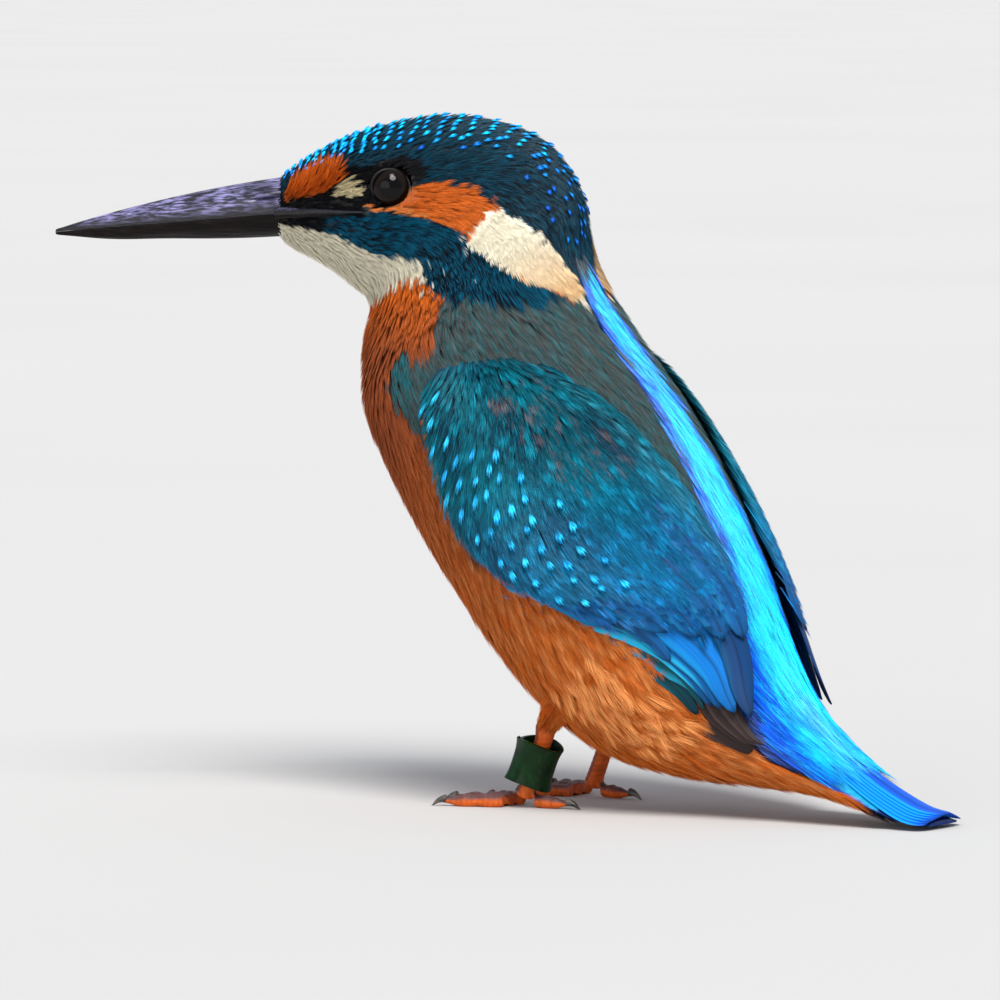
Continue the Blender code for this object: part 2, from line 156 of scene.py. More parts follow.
def smooth_rows(rows: Array, place: Array) -> Array:
    """Reads a smooth curve through evenly spaced rows.

    Args:
        rows: values at places 0, 1, 2 and so on, one row each.
        place: where to read it.

    Returns:
        One row of values for each place.
    """
    rows = np.asarray(rows, float)
    if rows.ndim == 1:
        rows = rows[:, None]
    last = len(rows) - 1
    place = np.clip(np.asarray(place, float), 0, last)
    i = np.minimum(place.astype(int), last - 1)
    t = (place - i)[..., None]
    padded = np.vstack([2 * rows[0] - rows[1], rows, 2 * rows[-1] - rows[-2]])
    before, here, then, after = (padded[i + k] for k in range(4))
    slope, next_slope, rise = (then - before) / 2, (after - here) / 2, then - here
    bend = 3 * rise - 2 * slope - next_slope
    return here + t * slope + t**2 * bend + t**3 * (slope + next_slope - 2 * rise)


def held(value: Array) -> Array:
    """Returns values held between 0 and 1."""
    return np.clip(value, 0, 1)


def bell(away: Array, width: float) -> Array:
    """Returns 1 where a distance is 0, falling off smoothly over a width."""
    return np.exp(-((away / width) ** 2))


def mix(base: Array, other: Array, share: Array) -> Array:
    """Mixes two colours, or rows of colours, by a share for each row."""
    share = held(np.asarray(share, float))[..., None]
    return base * (1 - share) + other * share


def search_tree(spots: Array) -> KDTree:
    """Returns a tree that finds the nearest of some points."""
    tree = KDTree(len(spots))
    for i, spot in enumerate(spots):
        tree.insert(spot, i)
    tree.balance()
    return tree


class BodyRun:
    """The smooth run of oval sections that head, neck, trunk, rump and tail share."""

    def __init__(self) -> None:
        """Finds the bird's middle and keeps the sections as rows."""
        left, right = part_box("wing_left_coverts"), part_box("wing_right_coverts")
        middle_x = (left[1].x + right[0].x) / 2
        self.origin = np.array([middle_x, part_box("tail")[1].y - TAIL_REACH * MM, 0.0])
        self.rows = np.array(list(BODY.values()), float)

    def turned(self, points: Array, share: Array) -> Array:
        """Turns points in millimetres about the neck's upright axis and returns them in metres."""
        angle = np.radians(HEAD_TURN) * np.asarray(share, float)
        x, y = points[..., 0], points[..., 1] - NECK_PIVOT_Y
        cos, sin = np.cos(angle), np.sin(angle)
        moved = np.stack([x * cos - y * sin, x * sin + y * cos + NECK_PIVOT_Y, points[..., 2]], -1)
        return moved * MM + self.origin

    def points(self, place: Array, turn: Array, grow: Array) -> Array:
        """Returns points of the body's surface.

        Args:
            place: places along the body.
            turn: angles round it in radians.
            grow: how far outside the CAD's surface, in millimetres.

        Returns:
            World points in metres.
        """
        y, z, pitch, share, wide, deep = np.moveaxis(smooth_rows(self.rows, place), -1, 0)
        pitch = np.radians(pitch)
        head = held((5.0 - place) / 2)
        across = np.sin(turn) * (wide + grow) * (1 - CROWN_LIFT * head * np.cos(turn))
        up = np.cos(turn) * (deep + grow)
        flat = np.stack([across, y + up * np.sin(pitch), z + up * np.cos(pitch)], -1)
        return self.turned(flat, share)


class Chart:
    """A smooth surface with two running numbers, which feathers are laid over."""

    def __init__(self, points: Array, places: Pair, turns: Pair, wraps: bool, outward: int = 1) -> None:
        """Keeps a grid of points and works out its normals.

        Args:
            points: a grid of world points, place by row and turn by column.
            places, turns: the first and last row's place and column's turn.
            wraps: whether the last column is the first again.
            outward: 1, or -1 where turns run the other way round.
        """
        self.points, self.places, self.turns, self.wraps = points, places, turns, wraps
        row_step = (places[1] - places[0]) / (points.shape[0] - 1)
        column_step = (turns[1] - turns[0]) / (points.shape[1] - 1)
        self.by_place = np.gradient(points, row_step, axis=0)
        if wraps:
            ring = np.concatenate([points[:, -2:-1], points, points[:, 1:2]], axis=1)
            self.by_turn = np.gradient(ring, column_step, axis=1)[:, 1:-1]
        else:
            self.by_turn = np.gradient(points, column_step, axis=1)
        normal = np.cross(self.by_turn, self.by_place) * outward
        self.normals = normal / np.linalg.norm(normal, axis=-1, keepdims=True)

    def shares(self, place: Array, turn: Array) -> tuple[Array, Array]:
        """Returns a place and a turn as shares of the whole chart."""
        return ((place - self.places[0]) / (self.places[1] - self.places[0]),
            (turn - self.turns[0]) / (self.turns[1] - self.turns[0]))

    def read(self, grid: Array, place: Array, turn: Array) -> Array:
        """Reads a grid between its nodes at places and turns."""
        rows, columns = grid.shape[:2]
        if self.wraps:
            turn = self.turns[0] + np.mod(turn - self.turns[0], self.turns[1] - self.turns[0])
        u, v = self.shares(place, turn)
        r, c = np.clip(u * (rows - 1), 0, rows - 1.0001), np.clip(v * (columns - 1), 0, columns - 1.0001)
        i, j = r.astype(int), c.astype(int)
        u, v = (r - i)[..., None], (c - j)[..., None]
        top = grid[i, j] * (1 - v) + grid[i, j + 1] * v
        low = grid[i + 1, j] * (1 - v) + grid[i + 1, j + 1] * v
        return top * (1 - u) + low * u

    def at(self, place: Array, turn: Array, height: Array) -> Array:
        """Returns world points at a height over the surface."""
        normal = self.read(self.normals, place, turn)
        normal /= np.linalg.norm(normal, axis=-1, keepdims=True)
        return self.read(self.points, place, turn) + normal * np.asarray(height)[..., None]

    def reach(self, place: Array, turn: Array) -> tuple[Array, Array]:
        """Returns how many metres one step of place and one of turn cover."""
        by_place = np.linalg.norm(self.read(self.by_place, place, turn), axis=-1)
        by_turn = np.linalg.norm(self.read(self.by_turn, place, turn), axis=-1)
        return np.maximum(by_place, 0.0012), np.maximum(by_turn, 0.0022)

    def sheet(self, place: Array, turn: Array) -> Array:
        """Returns where a place and turn lie on a flat map of the whole chart."""
        u, v = self.shares(place, turn)
        return np.stack([u, np.mod(v, 1.0) if self.wraps else v], -1)

    def sow(self, mask: Callable[[Array, Array], Array], gap: Callable[[Array, Array], Array] | float,
            seed: int, places: Pair | None = None) -> tuple[Array, Array]:
        """Scatters roots evenly, no two closer than a gap.

        Args:
            mask: tells where roots may be, from places and turns.
            gap: the least distance between roots in metres, or what gives it there.
            seed: the scatter's own seed.
            places: the first and last place to try, or the whole chart.

        Returns:
            The roots' places and turns.
        """
        rng = np.random.default_rng(SEED + seed)
        place = rng.uniform(*(places or self.places), TRIES)
        turn = rng.uniform(*self.turns, TRIES)
        area = np.linalg.norm(np.cross(self.read(self.by_place, place, turn), self.read(self.by_turn, place,
            turn)), axis=-1)
        keep = (rng.uniform(0, 1, TRIES) < area / area.max()) & (mask(place, turn) > 0.5)
        place, turn = place[keep], turn[keep]
        spots = self.read(self.points, place, turn)
        gaps = gap(place, turn) if callable(gap) else np.full(len(spots), gap)
        tree, free = search_tree(spots), np.ones(len(spots), bool)
        kept = []
        for i in range(len(spots)):
            if free[i]:
                kept.append(i)
                for _, j, _ in tree.find_range(spots[i], gaps[i]):
                    free[j] = False
        return place[kept], turn[kept]


def wing_edges(place: Array) -> tuple[Array, Array, Array]:
    """Returns steps 0 to 8 along the folded wing, and its upper and lower edges there in degrees."""
    step = (place - WING_PLACES[0]) / (WING_PLACES[1] - WING_PLACES[0]) * 8
    return step, smooth_rows(WING_TOP, step)[..., 0], smooth_rows(WING_LOW, step)[..., 0]


def covered(place: Array, a: Array) -> Array:
    """Tells which places lie under a folded wing, well inside its edges."""
    step, top, low = wing_edges(place)
    return (step > 0.6) & (step < 7.4) & (a > top + 9) & (a < low - 8)


def staggered(rows: Array, columns: Callable[[int, float], Array]) -> tuple[Array, Array]:
    """Returns places and turns in rows, from what gives each row's turns by its number and place."""
    turns = [columns(k, row) for k, row in enumerate(rows)]
    return np.repeat(rows, [len(turn) for turn in turns]), np.concatenate(turns)


def middle_of(node: str) -> Vector:
    """Returns the middle of a CAD node's box."""
    return sum(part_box(node), Vector()) / 2


def body_chart(run: BodyRun) -> Chart:
    """Returns the chart of the whole body, from bill base to tail tip."""
    place, turn = np.meshgrid(np.linspace(0, 18, 433), np.linspace(-np.pi, np.pi, 241), indexing="ij")
    return Chart(run.points(place, turn, 0.0), (0.0, 18.0), (-math.pi, math.pi), True)


def wing_chart(run: BodyRun, side: Side) -> Chart:
    """Returns the chart of a wing's outer face: along it from shoulder to tip, across it downwards."""
    along, across = np.meshgrid(np.linspace(-0.08, 1.08, 175), np.linspace(-0.35, 1.3, 100), indexing="ij")
    step = along * 8
    top, low, lift = (smooth_rows(row, step)[..., 0] for row in (WING_TOP, WING_LOW, WING_LIFT))
    inside = held(across)
    clearance, edge, full = WING_SKIN
    crown = np.abs(np.sin(np.pi * inside)) ** 0.6 * (1 - 0.62 * held(along))
    crown *= held(along / 0.08)
    grow = clearance + np.maximum(lift, 0) + edge + (full - edge) * crown
    place = WING_PLACES[0] + (WING_PLACES[1] - WING_PLACES[0]) * along
    turn = np.radians(top + (low - top) * across) * side.value
    return Chart(run.points(place, turn, grow), (-0.08, 1.08), (-0.35, 1.3), False, side.value)


class Bench:
    """Hand tools: operators on one object at a time, with everything else left alone."""

    @staticmethod
    def clear() -> None:
        """Leaves edit mode and deselects everything."""
        if bpy.context.object and bpy.context.object.mode != "OBJECT":
            bpy.ops.object.mode_set(mode="OBJECT")
        bpy.ops.object.select_all(action="DESELECT")

    @staticmethod
    def pick(item: Item) -> None:
        """Selects one object and makes it active."""
        Bench.clear()
        item.select_set(True)
        bpy.context.view_layer.objects.active = item

    @staticmethod
    def add(name: str, data: bpy.types.ID) -> Item:
        """Adds an object that shows a mesh, curve, light or camera."""
        item = bpy.data.objects.new(name, data)
        bpy.context.collection.objects.link(item)
        return item

    @staticmethod
    def settle() -> None:
        """Applies the active object's place, turn and size to its mesh."""
        bpy.ops.object.transform_apply(location=True, rotation=True, scale=True)

    @staticmethod
    def edit(item: Item) -> None:
        """Opens one object in edit mode with everything selected."""
        Bench.pick(item)
        bpy.ops.object.mode_set(mode="EDIT")
        bpy.ops.mesh.select_all(action="SELECT")

    @staticmethod
    def disc(name: str, vertices: int, radius: float, middle: Vector | tuple = (0, 0, 0),
            heading: float = 0.0) -> Item:
        """Adds an upright round face, its own place applied, and opens it in edit mode."""
        Bench.clear()
        bpy.ops.mesh.primitive_circle_add(vertices=vertices, radius=radius, fill_type="NGON", location=middle,
            rotation=(math.pi / 2, 0, heading))
        item = Bench.named(name)
        Bench.settle()
        Bench.edit(item)
        return item

    @staticmethod
    def modify(item: Item, kind: str, **settings: object) -> None:
        """Adds a modifier with its settings."""
        modifier = item.modifiers.new(kind.lower(), kind)
        for key, value in settings.items():
            setattr(modifier, key, value)

    @staticmethod
    def named(name: str) -> Item:
        """Names the active object and its mesh and returns it."""
        item = bpy.context.object
        item.name = name
        item.data.name = name
        return item

    @staticmethod
    def apply(item: Item) -> Item:
        """Applies every modifier and the object's own place to its mesh."""
        Bench.pick(item)
        for modifier in list(item.modifiers):
            bpy.ops.object.modifier_apply(modifier=modifier.name)
        Bench.settle()
        return item

    @staticmethod
    def join(items: list[Item], name: str) -> Item:
        """Joins objects into the first and names it."""
        Bench.pick(items[0])
        for item in items[1:]:
            item.select_set(True)
        if len(items) > 1:
            bpy.ops.object.join()
        return Bench.named(name)

    @staticmethod
    def merge(item: Item) -> None:
        """Merges an object's doubles."""
        Bench.edit(item)
        bpy.ops.mesh.remove_doubles(threshold=1e-6)
        bpy.ops.object.mode_set(mode="OBJECT")

    @staticmethod
    def outward(item: Item) -> None:
        """Merges doubles and turns every face outwards."""
        Bench.merge(item)
        bpy.ops.object.mode_set(mode="EDIT")
        bpy.ops.mesh.normals_make_consistent(inside=False)
        bpy.ops.object.mode_set(mode="OBJECT")

    @staticmethod
    def places(item: Item) -> Array:
        """Returns a mesh's vertex places."""
        flat = np.empty(len(item.data.vertices) * 3)
        item.data.vertices.foreach_get("co", flat)
        return flat.reshape(-1, 3)

    @staticmethod
    def place(item: Item, points: Array) -> None:
        """Moves a mesh's vertices to new places."""
        item.data.vertices.foreach_set("co", np.ascontiguousarray(points, float).ravel())
        item.data.update()

    @staticmethod
    def extrude_on(middles: list[Vector], sizes: list[Vector], cap: bool = True) -> None:
        """Extrudes the selected end face step by step through middles, resizing it at each.

        Args:
            middles: the end face's middle at each step, the first where it is now.
            sizes: its size at each step, in x, y and z.
            cap: whether to merge the last step to a point.
        """
        for k in range(1, len(middles)):
            bpy.ops.mesh.extrude_region_move(TRANSFORM_OT_translate={"value": middles[k] - middles[k - 1]})
            change = [sizes[k][i] / sizes[k - 1][i] for i in range(3)]
            bpy.ops.transform.resize(value=change, center_override=middles[k])
        if cap:
            bpy.ops.mesh.merge(type="CENTER")


def paint_on(mesh: bpy.types.Mesh, colours: Array) -> None:
    """Gives a mesh its Plumage colours, one for each vertex."""
    values = np.concatenate([colours, np.ones((len(colours), 1))], axis=1)
    layer = mesh.attributes.new("Plumage", "FLOAT_COLOR", "POINT")
    layer.data.foreach_set("color", np.clip(values, 0, 4).astype(np.float32).ravel())


def hand_over(piece: Item, finish: Material, slot: str, *nodes: str) -> Item:
    """Gives a finished piece its material, sets it on the body's root and hides the CAD nodes that it stands
    for.

    Args:
        piece: the piece, at the origin.
        finish: its material.
        slot: not used.
        nodes: the CAD nodes that it stands for.

    Returns:
        The piece.
    """
    piece.data.materials.append(finish)
    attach(piece, "root")
    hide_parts(*nodes)
    log.info("%s: %d faces", piece.name, len(piece.data.polygons))
    return piece


@dataclass
class Pattern:
    """One tuft or vane in its own frame, with sizes as shares of its width, length and thickness."""

    points: Array
    loops: Array
    sizes: Array
    strand: Array
    smooth: bool = True

    @classmethod
    def taken_from(cls, item: Item) -> "Pattern":
        """Reads a modelled object into a pattern and removes the object."""
        mesh = item.data
        loops = np.empty(len(mesh.loops), int)
        mesh.loops.foreach_get("vertex_index", loops)
        sizes = np.array([len(face.vertices) for face in mesh.polygons])
        points = Bench.places(item)
        bpy.data.objects.remove(item)
        bpy.data.meshes.remove(mesh)
        return cls(points, loops, sizes, np.zeros(len(points), int))

    def fan(self, count: int, root: float, tip: float, barb: float, rounded: float, camber: float = 0.5,
            start: float = 0.0, uneven: float = 0.16) -> "Pattern":
        """Returns a tuft of several copies of this barb, spread like a hand of cards.

        Args:
            count: how many barbs.
            root, tip: how wide the barbs' roots and tips stand apart, as shares of the width.
            barb: one barb's own width, as a share of the width.
            rounded: how much shorter the outermost barbs are.
            camber: how much lower the outermost barbs lie, in thicknesses.
            start: how much later the outermost barbs start.
            uneven: how much the barbs' lengths differ.
        """
        rng = np.random.default_rng(SEED + count)
        points, n = [], len(self.points)
        x, y, z = self.points.T
        y = held(y)
        for u in np.linspace(-1, 1, count):
            spread = (root + (tip - root) * y**0.8) / 2
            reach = 1 - rounded * u * u - start * u * u - uneven * rng.uniform(0, 1)
            aside = rng.normal(0, 0.5) / count * y
            points.append(np.stack([u * spread + aside + x * barb, start * u * u + y * reach,
                z + rng.uniform(-0.3, 0.3) - camber * u * u], -1))
        loops = (self.loops + n * np.arange(count)[:, None]).ravel()
        strand = np.repeat(np.arange(count), n)
        return Pattern(np.concatenate(points), loops, np.tile(self.sizes, count), strand, self.smooth)


def model_barb(rings: tuple[float, ...], widths: tuple[float, ...]) -> Pattern:
    """Models one closed, three-sided barb that tapers to a point.

    Args:
        rings: where its rings stand along it, from 0; its tip is at 1.
        widths: its width at each ring, as a share.

    Returns:
        The barb as a pattern.
    """
    item = Bench.disc("barb", 3, 0.5)
    middles = [Vector((0, y, 0)) for y in (*rings, 1.0)]
    sizes = [Vector((w, 1, 0.35 + 0.65 * w)) for w in (*widths, 0.02)]
    Bench.extrude_on(middles, sizes)
    Bench.outward(item)
    points = Bench.places(item)
    points[:, 0] /= np.ptp(points[:, 0])
    points[:, 2] = (points[:, 2] - points[:, 2].min()) / np.ptp(points[:, 2])
    Bench.place(item, points)
    return Pattern.taken_from(item)


def model_vane(rows: int, columns: int) -> Pattern:
    """Models one closed vane: a thin crowned blade with a raised shaft and a rounded tip.

    Args:
        rows: rows of faces along it.
        columns: columns of faces across it, an even number so that the shaft has a line.

    Returns:
        The vane as a pattern.
    """
    Bench.clear()
    bpy.ops.mesh.primitive_grid_add(x_subdivisions=columns, y_subdivisions=rows, size=1, location=(0, 0.5, 0))
    item = Bench.named("vane")
    Bench.settle()
    Bench.modify(item, "SOLIDIFY", thickness=0.3, offset=-1)
    Bench.apply(item)
    points = Bench.places(item)
    x, y = points[:, 0].copy(), 1 - (1 - held(points[:, 1])) ** 1.5
    swell = held(y / 0.3) ** 0.5 * 0.4 + 0.6
    tip = np.sqrt(held(1 - held((y - 0.74) / 0.2605) ** 2.2))
    points[:, 0], points[:, 1] = x * swell * np.maximum(tip, 0.05), y
    points[:, 2] += 0.5 * (1 - (2 * x) ** 2) + 0.5 * bell(x, 0.035) * (1 - 0.6 * y)
    Bench.place(item, points)
    Bench.outward(item)
    return Pattern.taken_from(item)


@dataclass
class Roots:
    """Where a batch of feathers grows and how each one lies, one value for each feather."""

    place: Array
    turn: Array
    length: Array
    width: Array
    lean: Array
    sway: Array
    low: Array
    high: Array
    thickness: float

    @classmethod
    def lying(cls, place: Array, turn: Array, length: Amount, width: Amount, rng: Rng, lean: Amount = 0.0,
            low: float = -0.0009, high: float = 0.0001, thickness: float = 0.00018, ruffle: float = 0.05,
            lift: float = 0.00008) -> "Roots":
        """Returns roots with the small differences that real feathers have.

        Args:
            place, turn: where each root is.
            length, width: each feather's size in metres.
            rng: the batch's random numbers.
            lean: how far each turns from straight tailwards, in radians away from the back.
            low, high: the roots' and the tips' height over the chart.
            thickness: a barb's thickness in metres.
            ruffle: how much the leans differ, in radians.
            lift: how much the tips' heights differ, in metres.
        """
        n = len(place)
        away = np.where(turn >= 0, 1.0, -1.0)
        return cls(place, turn, length * rng.uniform(0.86, 1.14, n), width * rng.uniform(0.88, 1.12, n),
            lean * away + rng.normal(0, ruffle, n), rng.normal(0, 0.06, n) * length, np.full(n, low),
            high + rng.normal(0, lift, n), thickness)


@dataclass
class Tints:
    """The colours of a batch of feathers, one row for each feather."""

    root: Array
    blade: Array
    tip: Array
    tip_share: Array
    fleck: Array
    fleck_share: Array
    tip_from: float = 0.6

    @classmethod
    def plain(cls, blade: Array, fleck: Array, fleck_share: Amount, tip: Array | None = None,
            tip_share: Amount = 0.0) -> "Tints":
        """Returns colours with a darker root, and flecks of another colour from barb to barb."""
        n = len(blade)
        fleck, tip = (np.broadcast_to(one, blade.shape) for one in (fleck, blade if tip is None else tip))
        return cls(blade * 0.5, blade, tip, np.zeros(n) + tip_share, fleck, np.zeros(n) + fleck_share)

    def over(self, across: Array, along: Array, streak: Array, chance: Array) -> Array:
        """Returns a colour for every vertex of every feather.

        Args:
            across: the pattern's places across, from -0.5 to 0.5.
            along: its places along, from 0 to 1.
            streak: a brightness for each feather and vertex.
            chance: a number from 0 to 1 for each feather and vertex, the same all along a barb.
        """
        blade = mix(self.blade[:, None], self.fleck[:, None], chance < self.fleck_share[:, None])
        grow = held(along / 0.4)[None]
        colour = mix(self.root[:, None], blade, np.broadcast_to(grow, streak.shape))
        tips = held((along - self.tip_from) / (1 - self.tip_from))[None] * self.tip_share[:, None]
        return mix(colour, self.tip[:, None], tips) * streak[..., None]


class Coat:
    """Collects many laid feathers and joins them into one piece."""

    def __init__(self, name: str, chart: Chart, rng: Rng) -> None:
        """Starts an empty coat over a chart, with its own random numbers."""
        self.name, self.chart, self.rng = name, chart, rng
        self.batches: list[dict[str, Array]] = []
        self.count = self.feathers = 0

    def gathered(self, part: str) -> Array:
        """Returns one kind of data from every batch laid so far."""
        return np.concatenate([batch[part] for batch in self.batches])

    def lay(self, pattern: Pattern, roots: Roots, tints: Tints, contrast: float = 0.22) -> None:
        """Lays one copy of a pattern at every root, bent over the chart.

        Args:
            pattern: the feather that is copied.
            roots: where the copies grow.
            tints: their colours.
            contrast: how much brightness differs from barb to barb.
        """
        chart, rng = self.chart, self.rng
        x, y, z = pattern.points.T
        y = held(y)
        n, m = len(roots.place), len(x)
        along = y[None] * roots.length[:, None]
        across = x[None] * roots.width[:, None] + roots.sway[:, None] * (y**2)[None]
        cos, sin = np.cos(roots.lean)[:, None], np.sin(roots.lean)[:, None]
        down, around = along * cos - across * sin, along * sin + across * cos
        place, turn = roots.place[:, None], roots.turn[:, None]
        by_place, by_turn = chart.reach(place, turn)
        for _ in range(4):
            step, swing = down / by_place, around / by_turn
            by_place, by_turn = chart.reach(place + step / 2, turn + swing / 2)
        height = roots.low[:, None] + (roots.high - roots.low)[:, None] * y**0.55
        height = height + z[None] * roots.thickness
        points = chart.at(place + down / by_place, turn + around / by_turn, height)
        points[..., 2] = np.maximum(points[..., 2], FLOOR_GAP)
        strands = pattern.strand.max() + 1
        streak = 1 + contrast * rng.uniform(-1, 1, (n, strands))[:, pattern.strand]
        streak *= 1 + 0.3 * contrast * rng.uniform(-1, 1, (n, 1))
        colours = tints.over(x, y, streak, rng.uniform(0, 1, (n, strands))[:, pattern.strand])
        home = chart.sheet(roots.place, roots.turn)[:, None]
        local = np.stack([y, x + 0.5], -1)[None] - 0.5
        own = rng.uniform(0, 40, (n, 1, 2))
        offset = (self.count + np.arange(n) * m)[:, None]
        self.batches.append({
            "points": points.reshape(-1, 3), "colours": colours.reshape(-1, 3),
            "OFBake": (np.clip(home, 0.002, 0.998) + local * PATCH).reshape(-1, 2),
            "Barbs": (np.stack([x + 0.5, y], -1)[None] + own).reshape(-1, 2),
            "loops": (pattern.loops[None] + offset).ravel(), "sizes": np.tile(pattern.sizes, n),
            "smooth": np.full(len(pattern.sizes) * n, pattern.smooth)})
        self.count += n * m
        self.feathers += n

    def build(self, finish: Material, slot: str, *nodes: str) -> Item:
        """Joins everything laid so far into one mesh that rides on the body.

        Args:
            finish: the piece's material.
            slot: not used.
            nodes: the CAD nodes that it stands for.
        """
        loops, sizes = self.gathered("loops"), self.gathered("sizes")
        mesh = bpy.data.meshes.new(self.name)
        mesh.from_pydata(self.gathered("points"), [], np.split(loops, np.cumsum(sizes)[:-1]))
        mesh.polygons.foreach_set("use_smooth", self.gathered("smooth"))
        paint_on(mesh, self.gathered("colours"))
        for title in ("OFBake", "Barbs"):
            layer = mesh.uv_layers.new(name=title)
            layer.uv.foreach_set("vector", self.gathered(title)[loops].astype(np.float32).ravel())
        log.info("%s: %d feathers, %d triangles", self.name, self.feathers, (sizes - 2).sum())
        return hand_over(Bench.add(self.name, mesh), finish, slot, *nodes)


class Brush:
    """Lays shader nodes in one material, with short calls."""

    def __init__(self, name: str) -> None:
        """Makes the material, with its main shader ready."""
        self.material = bpy.data.materials.new(name)
        self.material.use_nodes = True
        self.tree = self.material.node_tree
        self.shader = self.tree.nodes["Principled BSDF"]

    def node(self, kind: str, **values: object) -> bpy.types.ShaderNode:
        """Adds a node; a value goes to the setting or the input of that name."""
        made = self.tree.nodes.new(kind)
        for key, value in values.items():
            if hasattr(made, key) and key not in made.inputs:
                setattr(made, key, value)
            else:
                self.feed(made.inputs[key.replace("_", " ")], value)
        return made

    def feed(self, socket: Socket, value: object) -> None:
        """Links an output to a socket, or sets the socket's own value."""
        if isinstance(value, Socket):
            self.tree.links.new(value, socket)
        else:
            socket.default_value = value

    def set(self, **values: object) -> None:
        """Feeds inputs of the main shader, named with underscores for spaces."""
        for key, value in values.items():
            self.feed(self.shader.inputs[key.replace("_", " ")], value)

    def here(self) -> Socket:
        """Returns the place on the piece, in metres."""
        return self.node("ShaderNodeTexCoord").outputs["Object"]

    def math(self, operation: str, a: object, b: object, kind: str = "Math") -> Socket:
        """Returns the result of one sum, of numbers or of vectors."""
        made = self.node("ShaderNode" + kind, operation=operation)
        self.feed(made.inputs[0], a)
        self.feed(made.inputs[1], b)
        return made.outputs[0]

    def noise(self, vector: Socket, scale: float, detail: float = 3.0, stretch: Triple = (1, 1, 1)) -> Socket:
        """Returns noise over stretched coordinates."""
        mapping = self.node("ShaderNodeMapping", Vector=vector, Scale=stretch)
        made = self.node("ShaderNodeTexNoise", Vector=mapping.outputs[0], Scale=scale, Detail=detail)
        return made.outputs["Fac"]

    def ranged(self, value: Socket, low: float, high: float, out_low: float, out_high: float) -> Socket:
        """Returns a value moved from one range to another."""
        made = self.node("ShaderNodeMapRange", Value=value)
        for socket, number in zip(made.inputs[1:5], (low, high, out_low, out_high)):
            socket.default_value = number
        return made.outputs[0]

    def blend(self, share: object, a: object, b: object, mode: str = "MIX") -> Socket:
        """Returns two colours blended by a share."""
        made = self.tree.nodes.new("ShaderNodeMix")
        made.data_type, made.blend_type = "RGBA", mode
        self.feed(made.inputs[0], share)
        for socket, value in ((made.inputs[6], a), (made.inputs[7], b)):
            self.feed(socket, value if isinstance(value, Socket) else (*value, 1.0))
        return made.outputs[2]

    def shaded(self, shade: Socket) -> None:
        """Colours the piece with its own Plumage colours, made darker or lighter by a shade."""
        colour = self.node("ShaderNodeAttribute", attribute_name="Plumage").outputs["Color"]
        grey = self.node("ShaderNodeCombineColor", Red=shade, Green=shade, Blue=shade).outputs[0]
        self.set(Base_Color=self.blend(1.0, colour, grey, "MULTIPLY"))

    def bump(self, height: Socket, distance: float, strength: float = 1.0) -> None:
        """Feeds a bump to the main shader."""
        made = self.node("ShaderNodeBump", Height=height, Distance=distance, Strength=strength)
        self.set(Normal=made.outputs[0])


@dataclass(frozen=True)
class PlumageFinish:
    """Feathers: their own colours, with fine barbs along each and a soft gloss."""

    name: str
    roughness: float = 0.5
    gloss: float = 0.35
    sheen: float = 0.15
    contrast: float = 0.26
    fineness: float = 22.0
    relief: float = 0.00004

    def build(self) -> Material:
        """Returns the material, which reads the Plumage colours and the Barbs map."""
        brush = Brush(self.name)
        barbs = brush.node("ShaderNodeUVMap", uv_map="Barbs").outputs[0]
        streaks = brush.noise(barbs, 1.0, 2.0, (self.fineness, 1.3, 1.0))
        brush.shaded(brush.ranged(streaks, 0.3, 0.7, 1 - self.contrast, 1 + self.contrast))
        brush.set(Roughness=brush.ranged(streaks, 0.3, 0.7, self.roughness + 0.1, self.roughness - 0.1))
        brush.set(Specular_IOR_Level=self.gloss, Sheen_Weight=self.sheen, Sheen_Roughness=0.4)
        brush.bump(streaks, self.relief)
        return brush.material


@dataclass(frozen=True)
class SkinFinish:
    """Skin under the coat, and the bare scaly legs: the coat's colours over fine pores."""

    name: str = "skin"

    def build(self) -> Material:
        """Returns the material."""
        brush = Brush(self.name)
        here = brush.here()
        mottle = brush.noise(here, 900, 4)
        brush.shaded(brush.ranged(mottle, 0.3, 0.7, 0.72, 1.2))
        brush.set(Roughness=brush.ranged(mottle, 0.3, 0.7, 0.62, 0.42), Specular_IOR_Level=0.25)
        brush.bump(brush.noise(here, 2600, 3), 0.00006)
        return brush.material


